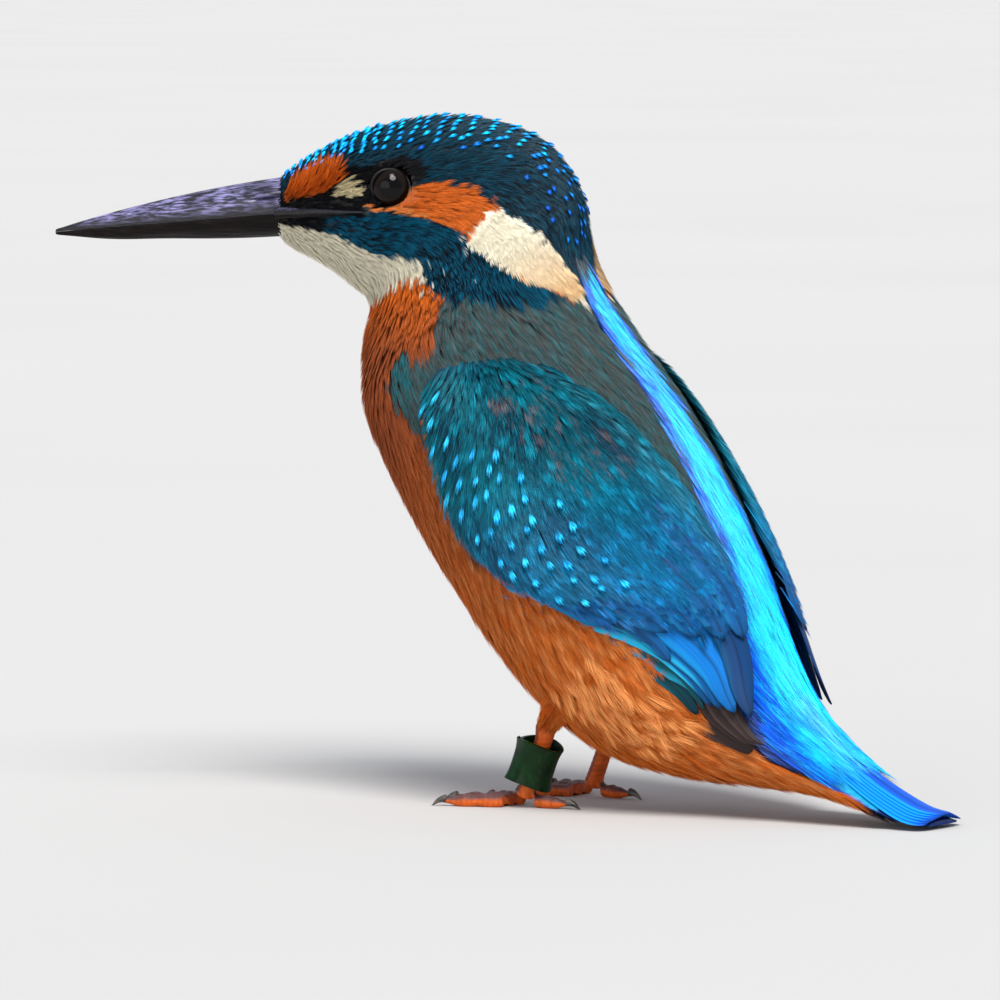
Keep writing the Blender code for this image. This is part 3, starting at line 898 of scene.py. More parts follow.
@dataclass(frozen=True)
class HornFinish:
    """Bill and claw horn: nearly black, polished, with fine lines along the growth; the upper bill's pale
    violet lines are painted sheen.
    """

    name: str
    dark: Triple
    light: Triple
    turn: float = 0.0
    roughness: float = 0.28
    scale: float = 3000.0
    stretch: float = 0.07
    gloss: float = 0.4
    relief: float = 0.00012
    # slope, dark_at and light_at set a tilted level above which the light colour shows; on the upper bill
    # this holds the painted sheen to the ridge's top.
    slope: float = 0.0
    dark_at: float = -1.0
    light_at: float = -0.9

    def build(self) -> Material:
        """Returns the material, whose lines run along -Y turned by the piece's own angle."""
        brush = Brush(self.name)
        here = brush.here()
        spin = brush.node("ShaderNodeMapping", Vector=here, Rotation=(0, 0, -self.turn)).outputs[0]
        lines = brush.noise(spin, self.scale, 2, (1.0, self.stretch, 1.0))
        cloud = brush.noise(here, 190, 3)
        # Painted sheen band: the light colour shows only above a tilted level, along the upper bill's ridge;
        # on the claws and the lower bill it covers the whole piece.
        split = brush.node("ShaderNodeSeparateXYZ", Vector=spin)
        over = brush.math("ADD", split.outputs["Z"], brush.math("MULTIPLY", split.outputs["Y"], -self.slope))
        grain_and_sheen_band = brush.ranged(over, self.dark_at, self.light_at, 0.0, 1.0)
        share = brush.math("MULTIPLY", brush.ranged(lines, 0.42, 0.62, 0.04, 1), brush.ranged(cloud, 0.38,
            0.6, 0.35, 1))
        share = brush.math("MULTIPLY", share, grain_and_sheen_band)
        brush.set(Base_Color=brush.blend(share, self.dark, self.light))
        brush.set(Roughness=brush.ranged(lines, 0.3, 0.7, self.roughness + 0.14, self.roughness - 0.08))
        brush.set(Specular_IOR_Level=self.gloss, Coat_Weight=0.1 * self.gloss, Coat_Roughness=0.2)
        brush.bump(lines, self.relief)
        return brush.material


@dataclass(frozen=True)
class EyeFinish:
    """A wet eye: a black pupil in a very dark brown iris."""

    name: str
    centre: Triple
    axis: Triple
    pupil: float = 0.00165

    def build(self) -> Material:
        """Returns the material, whose iris is drawn round the eye's own axis."""
        brush = Brush(self.name)
        here = brush.here()
        from_centre = brush.math("SUBTRACT", here, self.centre, "VectorMath")
        across = brush.math("CROSS_PRODUCT", from_centre, self.axis, "VectorMath")
        length = brush.node("ShaderNodeVectorMath", operation="LENGTH")
        brush.feed(length.inputs[0], across)
        away = length.outputs["Value"]
        iris = brush.ranged(away, self.pupil * 0.93, self.pupil * 1.07, 0, 1)
        rays = brush.ranged(brush.noise(here, 2200, 3), 0.3, 0.7, 0.6, 1.3)
        brown = brush.blend(rays, (0.001, 0.0008, 0.0008), (0.006, 0.003, 0.002))
        brush.set(Base_Color=brush.blend(iris, (0.0008, 0.0008, 0.001), brown))
        brush.set(Roughness=brush.ranged(brush.noise(here, 900, 2), 0.3, 0.7, 0.04, 0.07))
        brush.set(Specular_IOR_Level=0.17)
        brush.bump(brush.noise(here, 1200, 1), 0.000004)
        return brush.material


@dataclass(frozen=True)
class RingFinish:
    """The dark green plastic of the leg ring, rubbed paler in upright streaks."""

    name: str = "ring_plastic"

    def build(self) -> Material:
        """Returns the material."""
        brush = Brush(self.name)
        here = brush.here()
        cloud = brush.noise(here, 380, 4)
        scuff = brush.ranged(brush.noise(here, 1500, 5, (1, 1, 0.25)), 0.55, 0.72, 0, 0.25)
        base = brush.blend(brush.ranged(cloud, 0.3, 0.7, 0, 1), tuple(paint(0, 20, 2)),
            tuple(paint(0, 44, 6)))
        brush.set(Base_Color=brush.blend(scuff, base, tuple(paint(12, 80, 20))))
        brush.set(Roughness=brush.ranged(cloud, 0.3, 0.7, 0.22, 0.34), Specular_IOR_Level=0.2)
        brush.bump(brush.noise(here, 700, 3, (1, 1, 0.25)), 0.00004)
        return brush.material


def degrees(turn: Array) -> Array:
    """Returns how far a turn is from the middle of the back, in degrees on either side."""
    return np.degrees(np.abs((turn + np.pi) % (2 * np.pi) - np.pi))


def line(value: Array, *knots: Pair) -> Array:
    """Returns a broken line's height at a value, from its knots."""
    return np.interp(value, [k[0] for k in knots], [k[1] for k in knots])


EYE_PLACE, EYE_TURN = 3.1, 73.0
MOUTH = ((0, 98), (1, 100.5), (2.15, 97.5), (2.9, 93.5), (3.3, 91))


class Markings:
    """The kingfisher's pattern, told from places along the body and turns round it."""

    @staticmethod
    def crown_edge(place: Array) -> Array:
        """Returns the crown's and nape's lower edge, in degrees from the back's middle."""
        return line(place, (0, 64), (0.3, 56), (0.85, 48), (1.4, 45), (2.0, 56), (2.5, 60), (3.1, 61),
            (3.6, 70), (3.85, 73), (4.5, 66), (5.05, 62), (5.4, 59), (5.6, 57), (6.1, 43), (6.7, 23),
            (7.2, 11), (7.6, 10))

    @staticmethod
    def ear_edge(place: Array) -> Array:
        """Returns the lower edge of the ear patch and then of the neck patch."""
        return line(place, (2.6, 90), (2.95, 93), (3.55, 93), (4.2, 92), (4.6, 89), (5.2, 81), (5.6, 75),
            (6.25, 60), (6.9, 39), (7.25, 24), (7.6, 9))

    @staticmethod
    def moustache_edge(place: Array) -> Array:
        """Returns the lower edge of the moustache stripe, over the throat."""
        return line(place, (0, 120), (1.2, 118), (1.9, 118), (3.5, 121.5), (5.6, 101), (6.5, 78), (7.1, 52),
            (7.4, 34))

    @staticmethod
    def throat_end(turn: Array) -> Array:
        """Returns the place where the throat's white ends."""
        return line(turn, (95, 5.85), (99, 5.7), (120, 4.95), (160, 4.2), (180, 4.1))

    @staticmethod
    def stripe_edge(place: Array) -> Array:
        """Returns the half width of the bright stripe down the back, in degrees."""
        return line(place, (7.2, 5), (7.7, 7), (9.0, 8), (9.6, 10.5), (10, 12), (10.65, 15), (11.2, 20),
            (12.2, 30), (13.4, 42), (14.5, 66), (15.5, 84), (18, 90))

    @staticmethod
    def belly_edge(place: Array) -> Array:
        """Returns the belly feathers' upper edge, under the wings and along the rump."""
        return line(place, (9.4, 92), (11, 68), (12, 60), (13, 70), (14.6, 96))

    def head(self, s: Array, a: Array) -> dict[str, Array]:
        """Returns the head's and neck's regions as shares.

        Args:
            s: places.
            a: degrees from the back's middle.
        """
        crown, ear, moustache = self.crown_edge(s), self.ear_edge(s), self.moustache_edge(s)
        mouth = line(s, *MOUTH)
        from_eye = np.hypot((s - EYE_PLACE) * 6.1, (a - EYE_TURN) * 0.225)
        behind = (s > EYE_PLACE + 0.1) & (a > EYE_TURN + 3)
        ring = (from_eye < 4.3) & ~behind
        return {
            "crown": (a < crown) & (s < 7.6),
            "lore": (a >= crown) & (a < line(s, (0.2, 76), (1.4, 80), (1.95, 70))) & (s < 1.92) & (s > 0.3),
            "cream": (s > 1.85) & (s < 2.62) & (a > line(s, (1.85, 74), (2.2, 67), (2.62, 76))) & (a < 83),
            "mask": ((a >= crown) & (a < mouth + 2) & (s < 2.7)) | ring,
            "ear": (a >= crown) & (a < ear) & (s >= 2.7) & (s < 5.5) & ~ring,
            "patch": (a >= crown) & (a < ear) & (s >= 5.35 + 0.0006 * (a - 63) ** 2) & (s < 7.6),
            "flame": (a < ear) & (a > ear - 6) & (s > 6.75) & (s < 7.4),
            "moustache": (a >= np.where(s < 2.8, mouth + 1, ear)) & (a < moustache) & (s < 7.4),
            "throat": (a >= moustache) & (s < self.throat_end(a)),
            "fringe": (a >= moustache) & (s >= self.throat_end(a)) & (s < self.throat_end(a) + 1.3)
            & (a > 84),
        }

    def tints(self, place: Array, turn: Array, rng: Rng) -> Tints:
        """Returns the colours of feathers by where their middles lie.

        Args:
            place: each feather's place.
            turn: each feather's turn.
            rng: the batch's random numbers.
        """
        n = len(place)
        s = place + rng.normal(0, 0.03, n)
        a = degrees(turn) + rng.normal(0, 0.7, n)
        blade, fleck = np.tile(Hue.MANTLE, (n, 1)), np.tile(Hue.MANTLE_TEAL, (n, 1))
        teal = np.exp(-(((s - 6.9) / 0.5) ** 2 + ((a - 108) / 14) ** 2))
        tip, tip_share, fleck_share = blade.copy(), np.zeros(n), 0.22 + 0.6 * teal

        def fill(where: Array, colour: Array, flecks: Array, share: float, pale: Array | None = None,
                pale_share: float = 0.0) -> None:
            """Gives a region its colour, its flecks' and its tips'."""
            where = where.astype(bool)
            blade[where], fleck[where], fleck_share[where] = colour, flecks, share
            tip[where], tip_share[where] = colour if pale is None else pale, pale_share

        flank = line(s, (6.2, 92), (6.5, 104), (7.1, 118), (7.6, 108), (8.3, 103), (14, 92))
        under = (s > 5.0) & ((a > flank) | ((s > 9.4) & (a > 62)))
        ripe = held((s - 7.6) / 3.0)
        rufous = mix(Hue.BREAST, Hue.BELLY, ripe)
        blade[under], fleck[under] = rufous[under], rufous[under] * 0.66
        tip[under] = mix(Hue.BREAST * 1.35, Hue.PALE_TIP, ripe)[under]
        fleck_share[under] = 0.32
        tip_share[under] = (rng.uniform(0, 0.9, n) * line(a, (110, 0.9), (150, 0.5)))[under]
        region = self.head(s, a)
        fade = held((s - self.throat_end(a) - 0.3) / 1.0)[region["fringe"]]
        fill(region["fringe"], mix(Hue.BELLY, Hue.BREAST, fade), Hue.BREAST, 0.35)
        fill(region["crown"], Hue.NIGHT, Hue.CROWN, 0.55)
        blade[region["crown"]] = mix(Hue.NIGHT, Hue.CROWN * 0.6, np.clip((5 - s[region["crown"]]) / 3, 0,
            0.5))
        fill(region["moustache"], Hue.NIGHT, Hue.MALAR, 0.62)
        barred = region["moustache"] & ((s * 2.6 + a * 0.02) % 1 < 0.5) & (s < 5)
        blade[barred], fleck_share[barred] = Hue.MALAR * 0.7, 0.9
        fill(region["moustache"] & (s > 4.6) & (s < 6.4) & (rng.uniform(0, 1, n) < 0.1), Hue.MALAR, Hue.WHITE,
            0.25)
        fill(region["moustache"] & (s < 1.7), Hue.BLACK, Hue.NIGHT, 0.5)
        fill(region["mask"], Hue.BLACK, Hue.BLACK * 2, 0.2)
        fill(region["ear"], Hue.EAR, Hue.EAR * 0.6, 0.2, Hue.PALE_TIP, 0.15)
        fill(region["ear"] & (a > self.ear_edge(s) - 4) & (s < 4.3), mix(Hue.EAR, Hue.PALE_TIP, 0.6), Hue.EAR,
            0.4)
        fill(region["patch"], Hue.WHITE, Hue.WHITE * 0.85, 0.2)
        fill(region["flame"], Hue.EAR, Hue.BUFF, 0.3)
        fill(region["throat"], Hue.THROAT, Hue.WHITE, 0.3)
        fill(region["lore"], Hue.LORE, Hue.LORE * 0.5, 0.25, Hue.EAR * 1.2, 0.6)
        fill(region["mask"] & region["cream"], Hue.CREAM, Hue.CREAM * 0.45, 0.25)
        edge = self.stripe_edge(s)
        stripe = (a < edge) & (s > 7.25)
        fill(stripe, Hue.AZURE, Hue.DEEP_AZURE, 0.2)
        fill(stripe & (a < edge * 0.66), Hue.TURQUOISE, Hue.AZURE, 0.4)
        fill(stripe & (a < edge * 0.66) & ((s < 9) | (s > 13.6)), Hue.AZURE, Hue.TURQUOISE, 0.3)
        fill(stripe & (a > edge * 0.78), Hue.DEEP_AZURE, Hue.AZURE, 0.3)
        lined = stripe & (rng.uniform(0, 1, n) < 0.4)
        fleck[lined], fleck_share[lined] = Hue.DEEP_AZURE * 0.6, 0.35
        # Painted shade: the rump's sides below the stripe, where they lie under the wing tips, get a
        # near-black blue (deep azure at a quarter), with flecks of deep azure.
        fill((s > 12.0) & (a >= edge) & (a < self.belly_edge(s)), Hue.DEEP_AZURE * 0.25, Hue.DEEP_AZURE, 0.3)
        fill((s > 16.2) & (a >= edge), Hue.VANE_DARK, Hue.BROWN, 0.3)
        pale = region["throat"] | region["patch"] | region["cream"]
        root = blade * np.where(pale | stripe, 0.85, 0.5)[:, None]
        return Tints(root, blade, tip, tip_share, fleck, fleck_share)

    @staticmethod
    def patch(place: Array, turn: Array) -> Tints:
        """Returns the white neck patch's colours, buff towards the nape."""
        blade = mix(np.tile(Hue.WHITE, (len(place), 1)), Hue.BUFF, held((place - 6.2) / 1.1))
        tints = Tints.plain(blade, blade * 0.9, 0.15)
        tints.root = blade * 0.92
        return tints

    def skin(self, place: Array, turn: Array) -> Array:
        """Returns the skin's colour, a darker one of the coat's."""
        tints = self.tints(place, turn, np.random.default_rng(SEED))
        pale = tints.blade.min(axis=1) > 0.3
        colours = tints.blade * np.where(pale, 0.9, 0.5)[:, None]
        colours[place > 16.6] = Hue.TAIL * 0.2
        return colours


@dataclass
class Eyes:
    """Both eyes, clear and round, and the lids that frame them."""

    radius: float = 0.00295
    depth: float = 0.0022
    lid: float = 0.00024

    def axis(self, side: Side) -> Vector:
        """Returns the way one eye looks."""
        angle = math.radians(HEAD_TURN)
        return Vector((math.cos(angle), math.sin(angle), 0)) * side.value

    def centre(self, side: Side) -> Vector:
        """Returns the middle of one eye."""
        return middle_of("eye_" + side.word)

    def frame(self, side: Side) -> Matrix:
        """Returns the eye's own frame, its z along the way it looks."""
        turn = Vector((0, 0, 1)).rotation_difference(self.axis(side)).to_matrix().to_4x4()
        return Matrix.Translation(self.centre(side)) @ turn

    def build(self, side: Side) -> Item:
        """Models one eyeball with its cornea standing a little proud."""
        Bench.clear()
        bpy.ops.mesh.primitive_uv_sphere_add(segments=64, ring_count=40, radius=1)
        eye = Bench.named("eye_ball_" + side.word)
        points = Bench.places(eye)
        away = np.hypot(points[:, 0], points[:, 1])
        points[:, 2] += np.where(points[:, 2] > 0, 0.06 * held(1 - (away / 0.75) ** 2), 0)
        Bench.place(eye, points * np.array([self.radius, self.radius, self.depth]))
        eye.matrix_world = self.frame(side)
        Bench.apply(eye)
        bpy.ops.object.shade_smooth()
        finish = EyeFinish("eye_" + side.word, tuple(self.centre(side)), tuple(self.axis(side))).build()
        return hand_over(eye, finish, "eye", "eye_" + side.word)

    def lids(self, side: Side) -> Item:
        """Models the ring of bare lid round one eye, almond-shaped and drawn to its corners."""
        Bench.clear()
        bpy.ops.mesh.primitive_torus_add(major_segments=72, minor_segments=12,
            major_radius=self.radius * 0.93, minor_radius=self.lid)
        ring = Bench.named("lid_" + side.word)
        points = Bench.places(ring)
        angle = np.arctan2(points[:, 1], points[:, 0])
        away = np.hypot(points[:, 0], points[:, 1])
        reach = 1 + 0.05 * np.cos(2 * (angle - math.pi / 2))
        points[:, :2] *= reach[:, None]
        points[:, 2] = points[:, 2] * 1.2 + 0.00075 - 0.0003 * np.cos(2 * angle)
        points[:, 2] *= 1 + 0.1 * np.sin(24 * angle) * (away > self.radius)
        Bench.place(ring, points)
        ring.matrix_world = self.frame(side)
        return Bench.apply(ring)


@dataclass
class Skin:
    """The one skin: the whole body under its coat, and the bare scaly legs."""

    run: BodyRun
    body: Chart
    wings: dict[Side, Chart]
    markings: Markings
    eyes: Eyes
    swell: float = 0.00035
    grain: float = 0.0006
    leg_grain: float = 0.0002
    foot_level: float = 0.0024
    depth: float = 0.0008

    def copies(self, nodes: list[str], name: str) -> Item:
        """Joins merged copies of CAD nodes."""
        made = []
        for node in nodes:
            made.append(Bench.add(name + "_" + node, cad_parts[node].data.copy()))
            made[-1].data.materials.clear()
        item = Bench.join(made, name)
        Bench.merge(item)
        return item

    def melted(self, item: Item, swell: float, grain: float, rounds: int) -> Item:
        """Swells an object, melts its parts into one closed mesh and smooths it."""
        Bench.modify(item, "DISPLACE", strength=swell, mid_level=0.0)
        Bench.modify(item, "REMESH", mode="VOXEL", voxel_size=grain)
        Bench.modify(item, "SMOOTH", factor=0.5, iterations=rounds)
        return Bench.apply(item)

    @staticmethod
    def normals(item: Item) -> Array:
        """Returns a mesh's vertex normals."""
        flat = np.empty(len(item.data.vertices) * 3, np.float32)
        item.data.vertex_normals.foreach_get("vector", flat)
        return flat.reshape(-1, 3).astype(float)

    def flesh(self) -> tuple[Item, Array]:
        """Makes the feathered body's skin and returns it with its colours."""
        nodes = ["head", "neck", "trunk", "rump", "tail", "thigh_left", "thigh_right", "wing_left_coverts",
            "wing_right_coverts"]
        item = self.melted(self.copies(nodes, "flesh"), self.swell, self.grain, 8)
        points = Bench.places(item)
        rows, columns = self.body.points.shape[:2]
        tree = search_tree(self.body.points.reshape(-1, 3))
        nearest = np.array([tree.find(spot)[1] for spot in points])
        place = np.linspace(*self.body.places, rows)[nearest // columns]
        turn = np.linspace(*self.body.turns, columns)[nearest % columns]
        thin = line(place, (0, 0.55), (4, 0.6), (6, 0.9), (13, 1.0), (14.5, 0.9), (16, 0.7), (18, 0.5))
        moved = points - self.normals(item) * (self.swell + self.depth * thin)[:, None]
        moved[:, 2] = np.maximum(moved[:, 2], 0.0006)
        Bench.place(item, moved)
        colours = self.markings.skin(place, turn)
        for chart in self.wings.values():
            wing = search_tree(chart.points[14:160:3, 22:80:3].reshape(-1, 3))
            near = np.array([wing.find(spot)[2] for spot in points]) < 0.0016
            colours[near] = Hue.COVERT_DARK
        return item, colours

    def legs(self) -> tuple[Item, Array]:
        """Makes the bare shanks and toes with their scutes and returns them with their colours."""
        nodes = [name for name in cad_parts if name.startswith(("tarsus_", "toe_"))]
        item = self.melted(self.copies(nodes, "legs"), 0.0003, self.leg_grain, 16)
        points, normals = Bench.places(item), self.normals(item)
        for toe in nodes:
            if toe.startswith("toe_"):
                points = self.tapered(points, toe)
        for side in Side:
            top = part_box("tarsus_" + side.word)[1].z
            shank = (points[:, 2] > top - 0.0012) & ((points[:, 0] - self.run.origin[0]) * side.value > 0)
            points[shank, 2] += 0.0014
        left, right = (np.array(middle_of("tarsus_" + side.word)) for side in Side)
        middle = np.where(points[:, :1] > self.run.origin[0], left, right)
        on_toe = points[:, 2] < self.foot_level
        run = np.where(on_toe, np.hypot(*(points - middle)[:, :2].T), points[:, 2])
        wave = np.abs((run / 0.00078) % 1 - 0.5) * 2
        scute = 0.00006 * (1 - wave**3) * held(normals[:, 2] * on_toe + ~on_toe * 0.9)
        moved = points + normals * (scute - 0.00022)[:, None]
        moved[:, 2] = np.maximum(moved[:, 2], 0.0)
        Bench.place(item, moved)
        top = held(normals[:, 2] * 2.2 - 0.2) * on_toe
        colours = mix(paint(206, 92, 26), paint(66, 58, 64), top * 0.9)
        colours = mix(colours, paint(74, 34, 20), held(wave - 0.75) * 1.4)
        shank = ~on_toe & (normals[:, 1] < -0.2)
        colours[shank] = mix(paint(176, 74, 26), paint(74, 46, 38), np.full(shank.sum(), 0.5))
        return item, colours

    def tapered(self, points: Array, toe: str) -> Array:
        """Narrows one toe towards its claw and swells its pads, leaving other points alone."""
        low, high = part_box(toe)
        end = np.array(middle_of(toe.replace("toe", "claw")))
        shank = np.array(middle_of("tarsus_" + toe.split("_")[-1]))
        way = end[:2] - shank[:2]
        way /= np.linalg.norm(way)
        box = (points > np.array(low) - 0.0004).all(1) & (points < np.array(high) + 0.0004).all(1)
        flat = points[:, :2] - end[:2]
        along = flat @ way
        aside = flat @ np.array((-way[1], way[0]))
        near = box & (np.abs(aside) < 0.0018)
        thin = 1 - 0.42 * held((along + 0.0042) / 0.0032) ** 1.5
        thin += 0.07 * np.cos(along / 0.0021 * math.pi)
        moved = points.copy()
        moved[near, :2] += ((thin - 1) * aside)[near, None] * np.array((-way[1], way[0]))
        moved[near, 2] = 0.0009 + (points[near, 2] - 0.0009) * thin[near]
        return moved

    def build(self) -> Item:
        """Makes the skin from flesh, legs and lids, and paints it."""
        parts = [self.flesh(), self.legs()]
        for side in Side:
            lid = self.eyes.lids(side)
            away = Bench.places(lid) - np.array(self.eyes.centre(side))
            back = away @ np.array((0.54 * -side.value, 0.84, 0))
            pale = held((back * 0.6 - away[:, 2] * 0.8) / self.eyes.radius * 3 - 1.6)
            parts.append((lid, mix(paint(12, 10, 12), paint(190, 130, 80), pale * 0.9)))
        colours = np.concatenate([colour for _, colour in parts])
        skin = Bench.join([item for item, _ in parts], "skin_body")
        paint_on(skin.data, colours)
        Bench.pick(skin)
        bpy.ops.object.shade_smooth()
        skin.data.materials.clear()
        flesh = [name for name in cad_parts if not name.startswith(("bill", "eye", "claw", "leg"))]
        return hand_over(skin, SkinFinish().build(), "rufous_feathers", *flesh)


@dataclass
class Bill:
    """The dagger-like bill: two halves that meet along the mouth line, with slit nostrils."""

    run: BodyRun
    body: Chart
    length: float = 32.4
    half_depth: float = 4.15
    half_width: float = 4.15
    tip_radius: float = 0.42
    base: Triple = (0.0, -51.0, 86.35)
    drop: float = 2.8
    steps: int = 22

    def spike(self, name: str) -> Item:
        """Extrudes a round face from the bill's base to its tip, in millimetres."""
        item = Bench.disc(name, 48, 1.0, self.base)
        middles, sizes = [], []
        for t in np.linspace(0, 1, self.steps):
            taper = (1 - t) * (1 + 0.16 * math.sin(math.pi * t))
            wide = self.tip_radius + (self.half_width - self.tip_radius) * taper
            deep = self.tip_radius + (self.half_depth - self.tip_radius) * taper
            x, y, z = self.base
            middles.append(Vector((x, y - (self.length + 0.7) * t, z - self.drop * t)))
            sizes.append(Vector((wide, 1.0, deep)))
        middles.append(middles[-1] + Vector((0, -0.22, 0)))
        sizes.append(sizes[-1] * 0.45)
        bpy.ops.transform.resize(value=sizes[0], center_override=middles[0])
        Bench.extrude_on(middles, sizes, cap=False)
        return item

    def half(self, upper: bool) -> Item:
        """Cuts the spike along the mouth line and shapes one half."""
        item = self.spike("bill_horn_upper" if upper else "bill_horn_lower")
        sign = 1 if upper else -1
        Bench.edit(item)
        slope = Vector((0, -self.length, -self.drop)).normalized()
        up = slope.cross(Vector((-1, 0, 0))).normalized()
        up = up if up.z > 0 else -up
        start = Vector(self.base) + up * 0.012 * sign
        bpy.ops.mesh.bisect(plane_co=start, plane_no=up, use_fill=True, clear_inner=upper,
            clear_outer=not upper)
        bpy.ops.object.mode_set(mode="OBJECT")
        Bench.modify(item, "BEVEL", width=0.12, segments=2, limit_method="ANGLE",
            angle_limit=math.radians(60))
        Bench.modify(item, "SUBSURF", levels=2, render_levels=2)
        Bench.apply(item)
        self.shape(item, sign)
        Bench.outward(item)
        turn = Matrix.Rotation(math.radians(HEAD_TURN), 4, "Z")
        pivot = Vector((0, NECK_PIVOT_Y, 0))
        place = Matrix.Translation(Vector(self.run.origin)) @ Matrix.Scale(MM, 4)
        item.matrix_world = place @ Matrix.Translation(pivot) @ turn @ Matrix.Translation(-pivot)
        Bench.apply(item)
        bpy.ops.object.shade_smooth_by_angle(angle=math.radians(50))
        return item

    def shape(self, item: Item, sign: int) -> None:
        """Pulls up the ridge, hollows the sides and sinks the nostrils and the mouth's fold."""
        points = Bench.places(item)
        t = (self.base[1] - points[:, 1]) / self.length
        middle = self.base[2] - self.drop * t
        up = (points[:, 2] - middle) * sign
        taper = np.clip((1 - t) * (1 + 0.16 * np.sin(np.pi * held(t))), 0.03, 1.1)
        wide, high = points[:, 0] / (self.half_width * taper), up / (self.half_depth * taper)
        ridge = bell(wide, 0.22) * held(high)
        flank = bell(np.abs(wide) - 0.62, 0.26) * held(high * 1.6)
        hollow = flank * held((t - 0.05) / 0.2) * (0.30 if sign > 0 else 0.16)
        t01, rise = held(t), held(high)
        if sign > 0:
            points[:, 2] += 0.85 * (1 - t01**5) * rise
        else:
            points[:, 2] -= (0.45 * bell(t01 - 0.78, 0.2) - 0.75 * (1 - t01) ** 1.5) * rise
        points[:, 2] += sign * 0.22 * ridge * taper * (1 if sign > 0 else 0.5)
        points[:, 0] -= np.sign(points[:, 0]) * hollow * taper
        points[:, 2] -= sign * hollow * taper * 0.6
        if sign > 0:
            slit = bell(t - 0.055, 0.06) * bell(high - 0.47, 0.055)
            points[:, 0] -= np.sign(points[:, 0]) * slit * 1.0
            fold = bell(t - 0.08, 0.1) * bell(high - 0.62, 0.09)
            points[:, 0] += np.sign(points[:, 0]) * fold * 0.2
        flare = held(1 - t / 0.2) ** 2 * bell(high, 0.3)
        points[:, 0] += np.sign(points[:, 0]) * flare * 0.6
        groove = bell(high - 0.3, 0.07) * held((t - 0.1) / 0.1)
        groove *= held(0.8 - t)
        points[:, 0] -= np.sign(points[:, 0]) * groove * 0.14
        Bench.place(item, points)

    def lip(self, side: Side, upper: bool) -> Item:
        """Draws one mandible's edge back over the cheek, where it narrows to a point below the eye."""
        Bench.clear()
        place = np.linspace(-0.05, 2.75 if upper else 2.3, 26)
        share = np.linspace(0, 1, 26)
        gape = line(place, *MOUTH) + (-3.6 if upper else 3.0) * (1 - share) ** 0.8
        thick = (0.62 if upper else 0.42) * MM * (1 - share) ** 0.7 + 0.00009
        points = self.body.at(place, np.radians(gape) * side.value, -0.25 * thick + 0.0001)
        path = bpy.data.curves.new("lip", "CURVE")
        path.dimensions, path.bevel_depth, path.bevel_resolution = "3D", 1.0, 3
        path.use_fill_caps = True
        spline = path.splines.new("POLY")
        spline.points.add(len(points) - 1)
        for knot, spot, radius in zip(spline.points, points, thick):
            knot.co, knot.radius = (*spot, 1.0), radius
        Bench.pick(Bench.add("lip_" + side.word, path))
        bpy.ops.object.convert(target="MESH")
        item = bpy.context.object
        Bench.outward(item)
        return item

    def build(self) -> None:
        """Makes both halves and gives them their horn."""
        angle = math.radians(HEAD_TURN)
        # The upper horn's pale violet lines, held to the ridge's top, are a painted sheen: the sky reflected
        # on black horn.
        upper_horn = HornFinish("bill_black", (0.003, 0.003, 0.006), (0.25, 0.23, 0.46), angle, 0.24,
            slope=0.086, dark_at=0.0899, light_at=0.0913)
        lower_horn = HornFinish("bill_underside", (0.004, 0.003, 0.003), (0.014, 0.008, 0.008), angle, 0.46,
            gloss=0.1)
        for upper, horn in ((True, upper_horn), (False, lower_horn)):
            half = self.half(upper)
            lips = [self.lip(side, upper) for side in Side]
            item = Bench.join([half, *lips], half.name)
            Bench.pick(item)
            bpy.ops.object.shade_smooth_by_angle(angle=math.radians(50))
            hand_over(item, horn.build(), "bill", "bill_upper" if upper else "bill_lower")


@dataclass
class Claws:
    """The eight claws, slender and hooked."""

    length: float = 0.0033
    radius: float = 0.00068
    steps: int = 12
    horn: HornFinish = HornFinish("claw_horn", (0.02, 0.017, 0.016), (0.16, 0.145, 0.13), 0.0, 0.3, 900.0,
        0.3)

    def build(self, node: str, finish: Material) -> Item:
        """Models one claw between its toe and the floor.

        Args:
            node: the CAD claw that it stands for.
            finish: the horn.
        """
        low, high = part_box(node)
        middle, toe = middle_of(node), middle_of(node.replace("claw", "toe"))
        way = Vector((middle.x - toe.x, middle.y - toe.y, 0)).normalized()
        start = middle - way * ((high - low).xy.length / 2 * 0.98 + 0.0002)
        start.z = 0.00105
        heading = math.atan2(way.y, way.x) - math.pi / 2
        claw = Bench.disc("hooked_" + node, 14, self.radius, start, heading)
        place = start.copy()
        step = self.length / self.steps
        for k in range(1, self.steps + 1):
            t = k / self.steps
            fall = math.radians(8 - 78 * t)
            move = (way * math.cos(fall) + Vector((0, 0, math.sin(fall)))) * step
            bpy.ops.mesh.extrude_region_move(TRANSFORM_OT_translate={"value": move})
            place += move
            shrink = (1 - t * 0.93) / (1 - (t - 1 / self.steps) * 0.93)
            bpy.ops.transform.resize(value=(shrink, shrink, shrink), center_override=place)
        bpy.ops.object.mode_set(mode="OBJECT")
        points = Bench.places(claw)
        points[:, 2] = np.maximum(points[:, 2], 0.00003)
        Bench.place(claw, points)
        Bench.modify(claw, "SUBSURF", levels=1, render_levels=1)
        Bench.apply(claw)
        Bench.outward(claw)
        bpy.ops.object.shade_smooth()
        return hand_over(claw, finish, "claw", node)


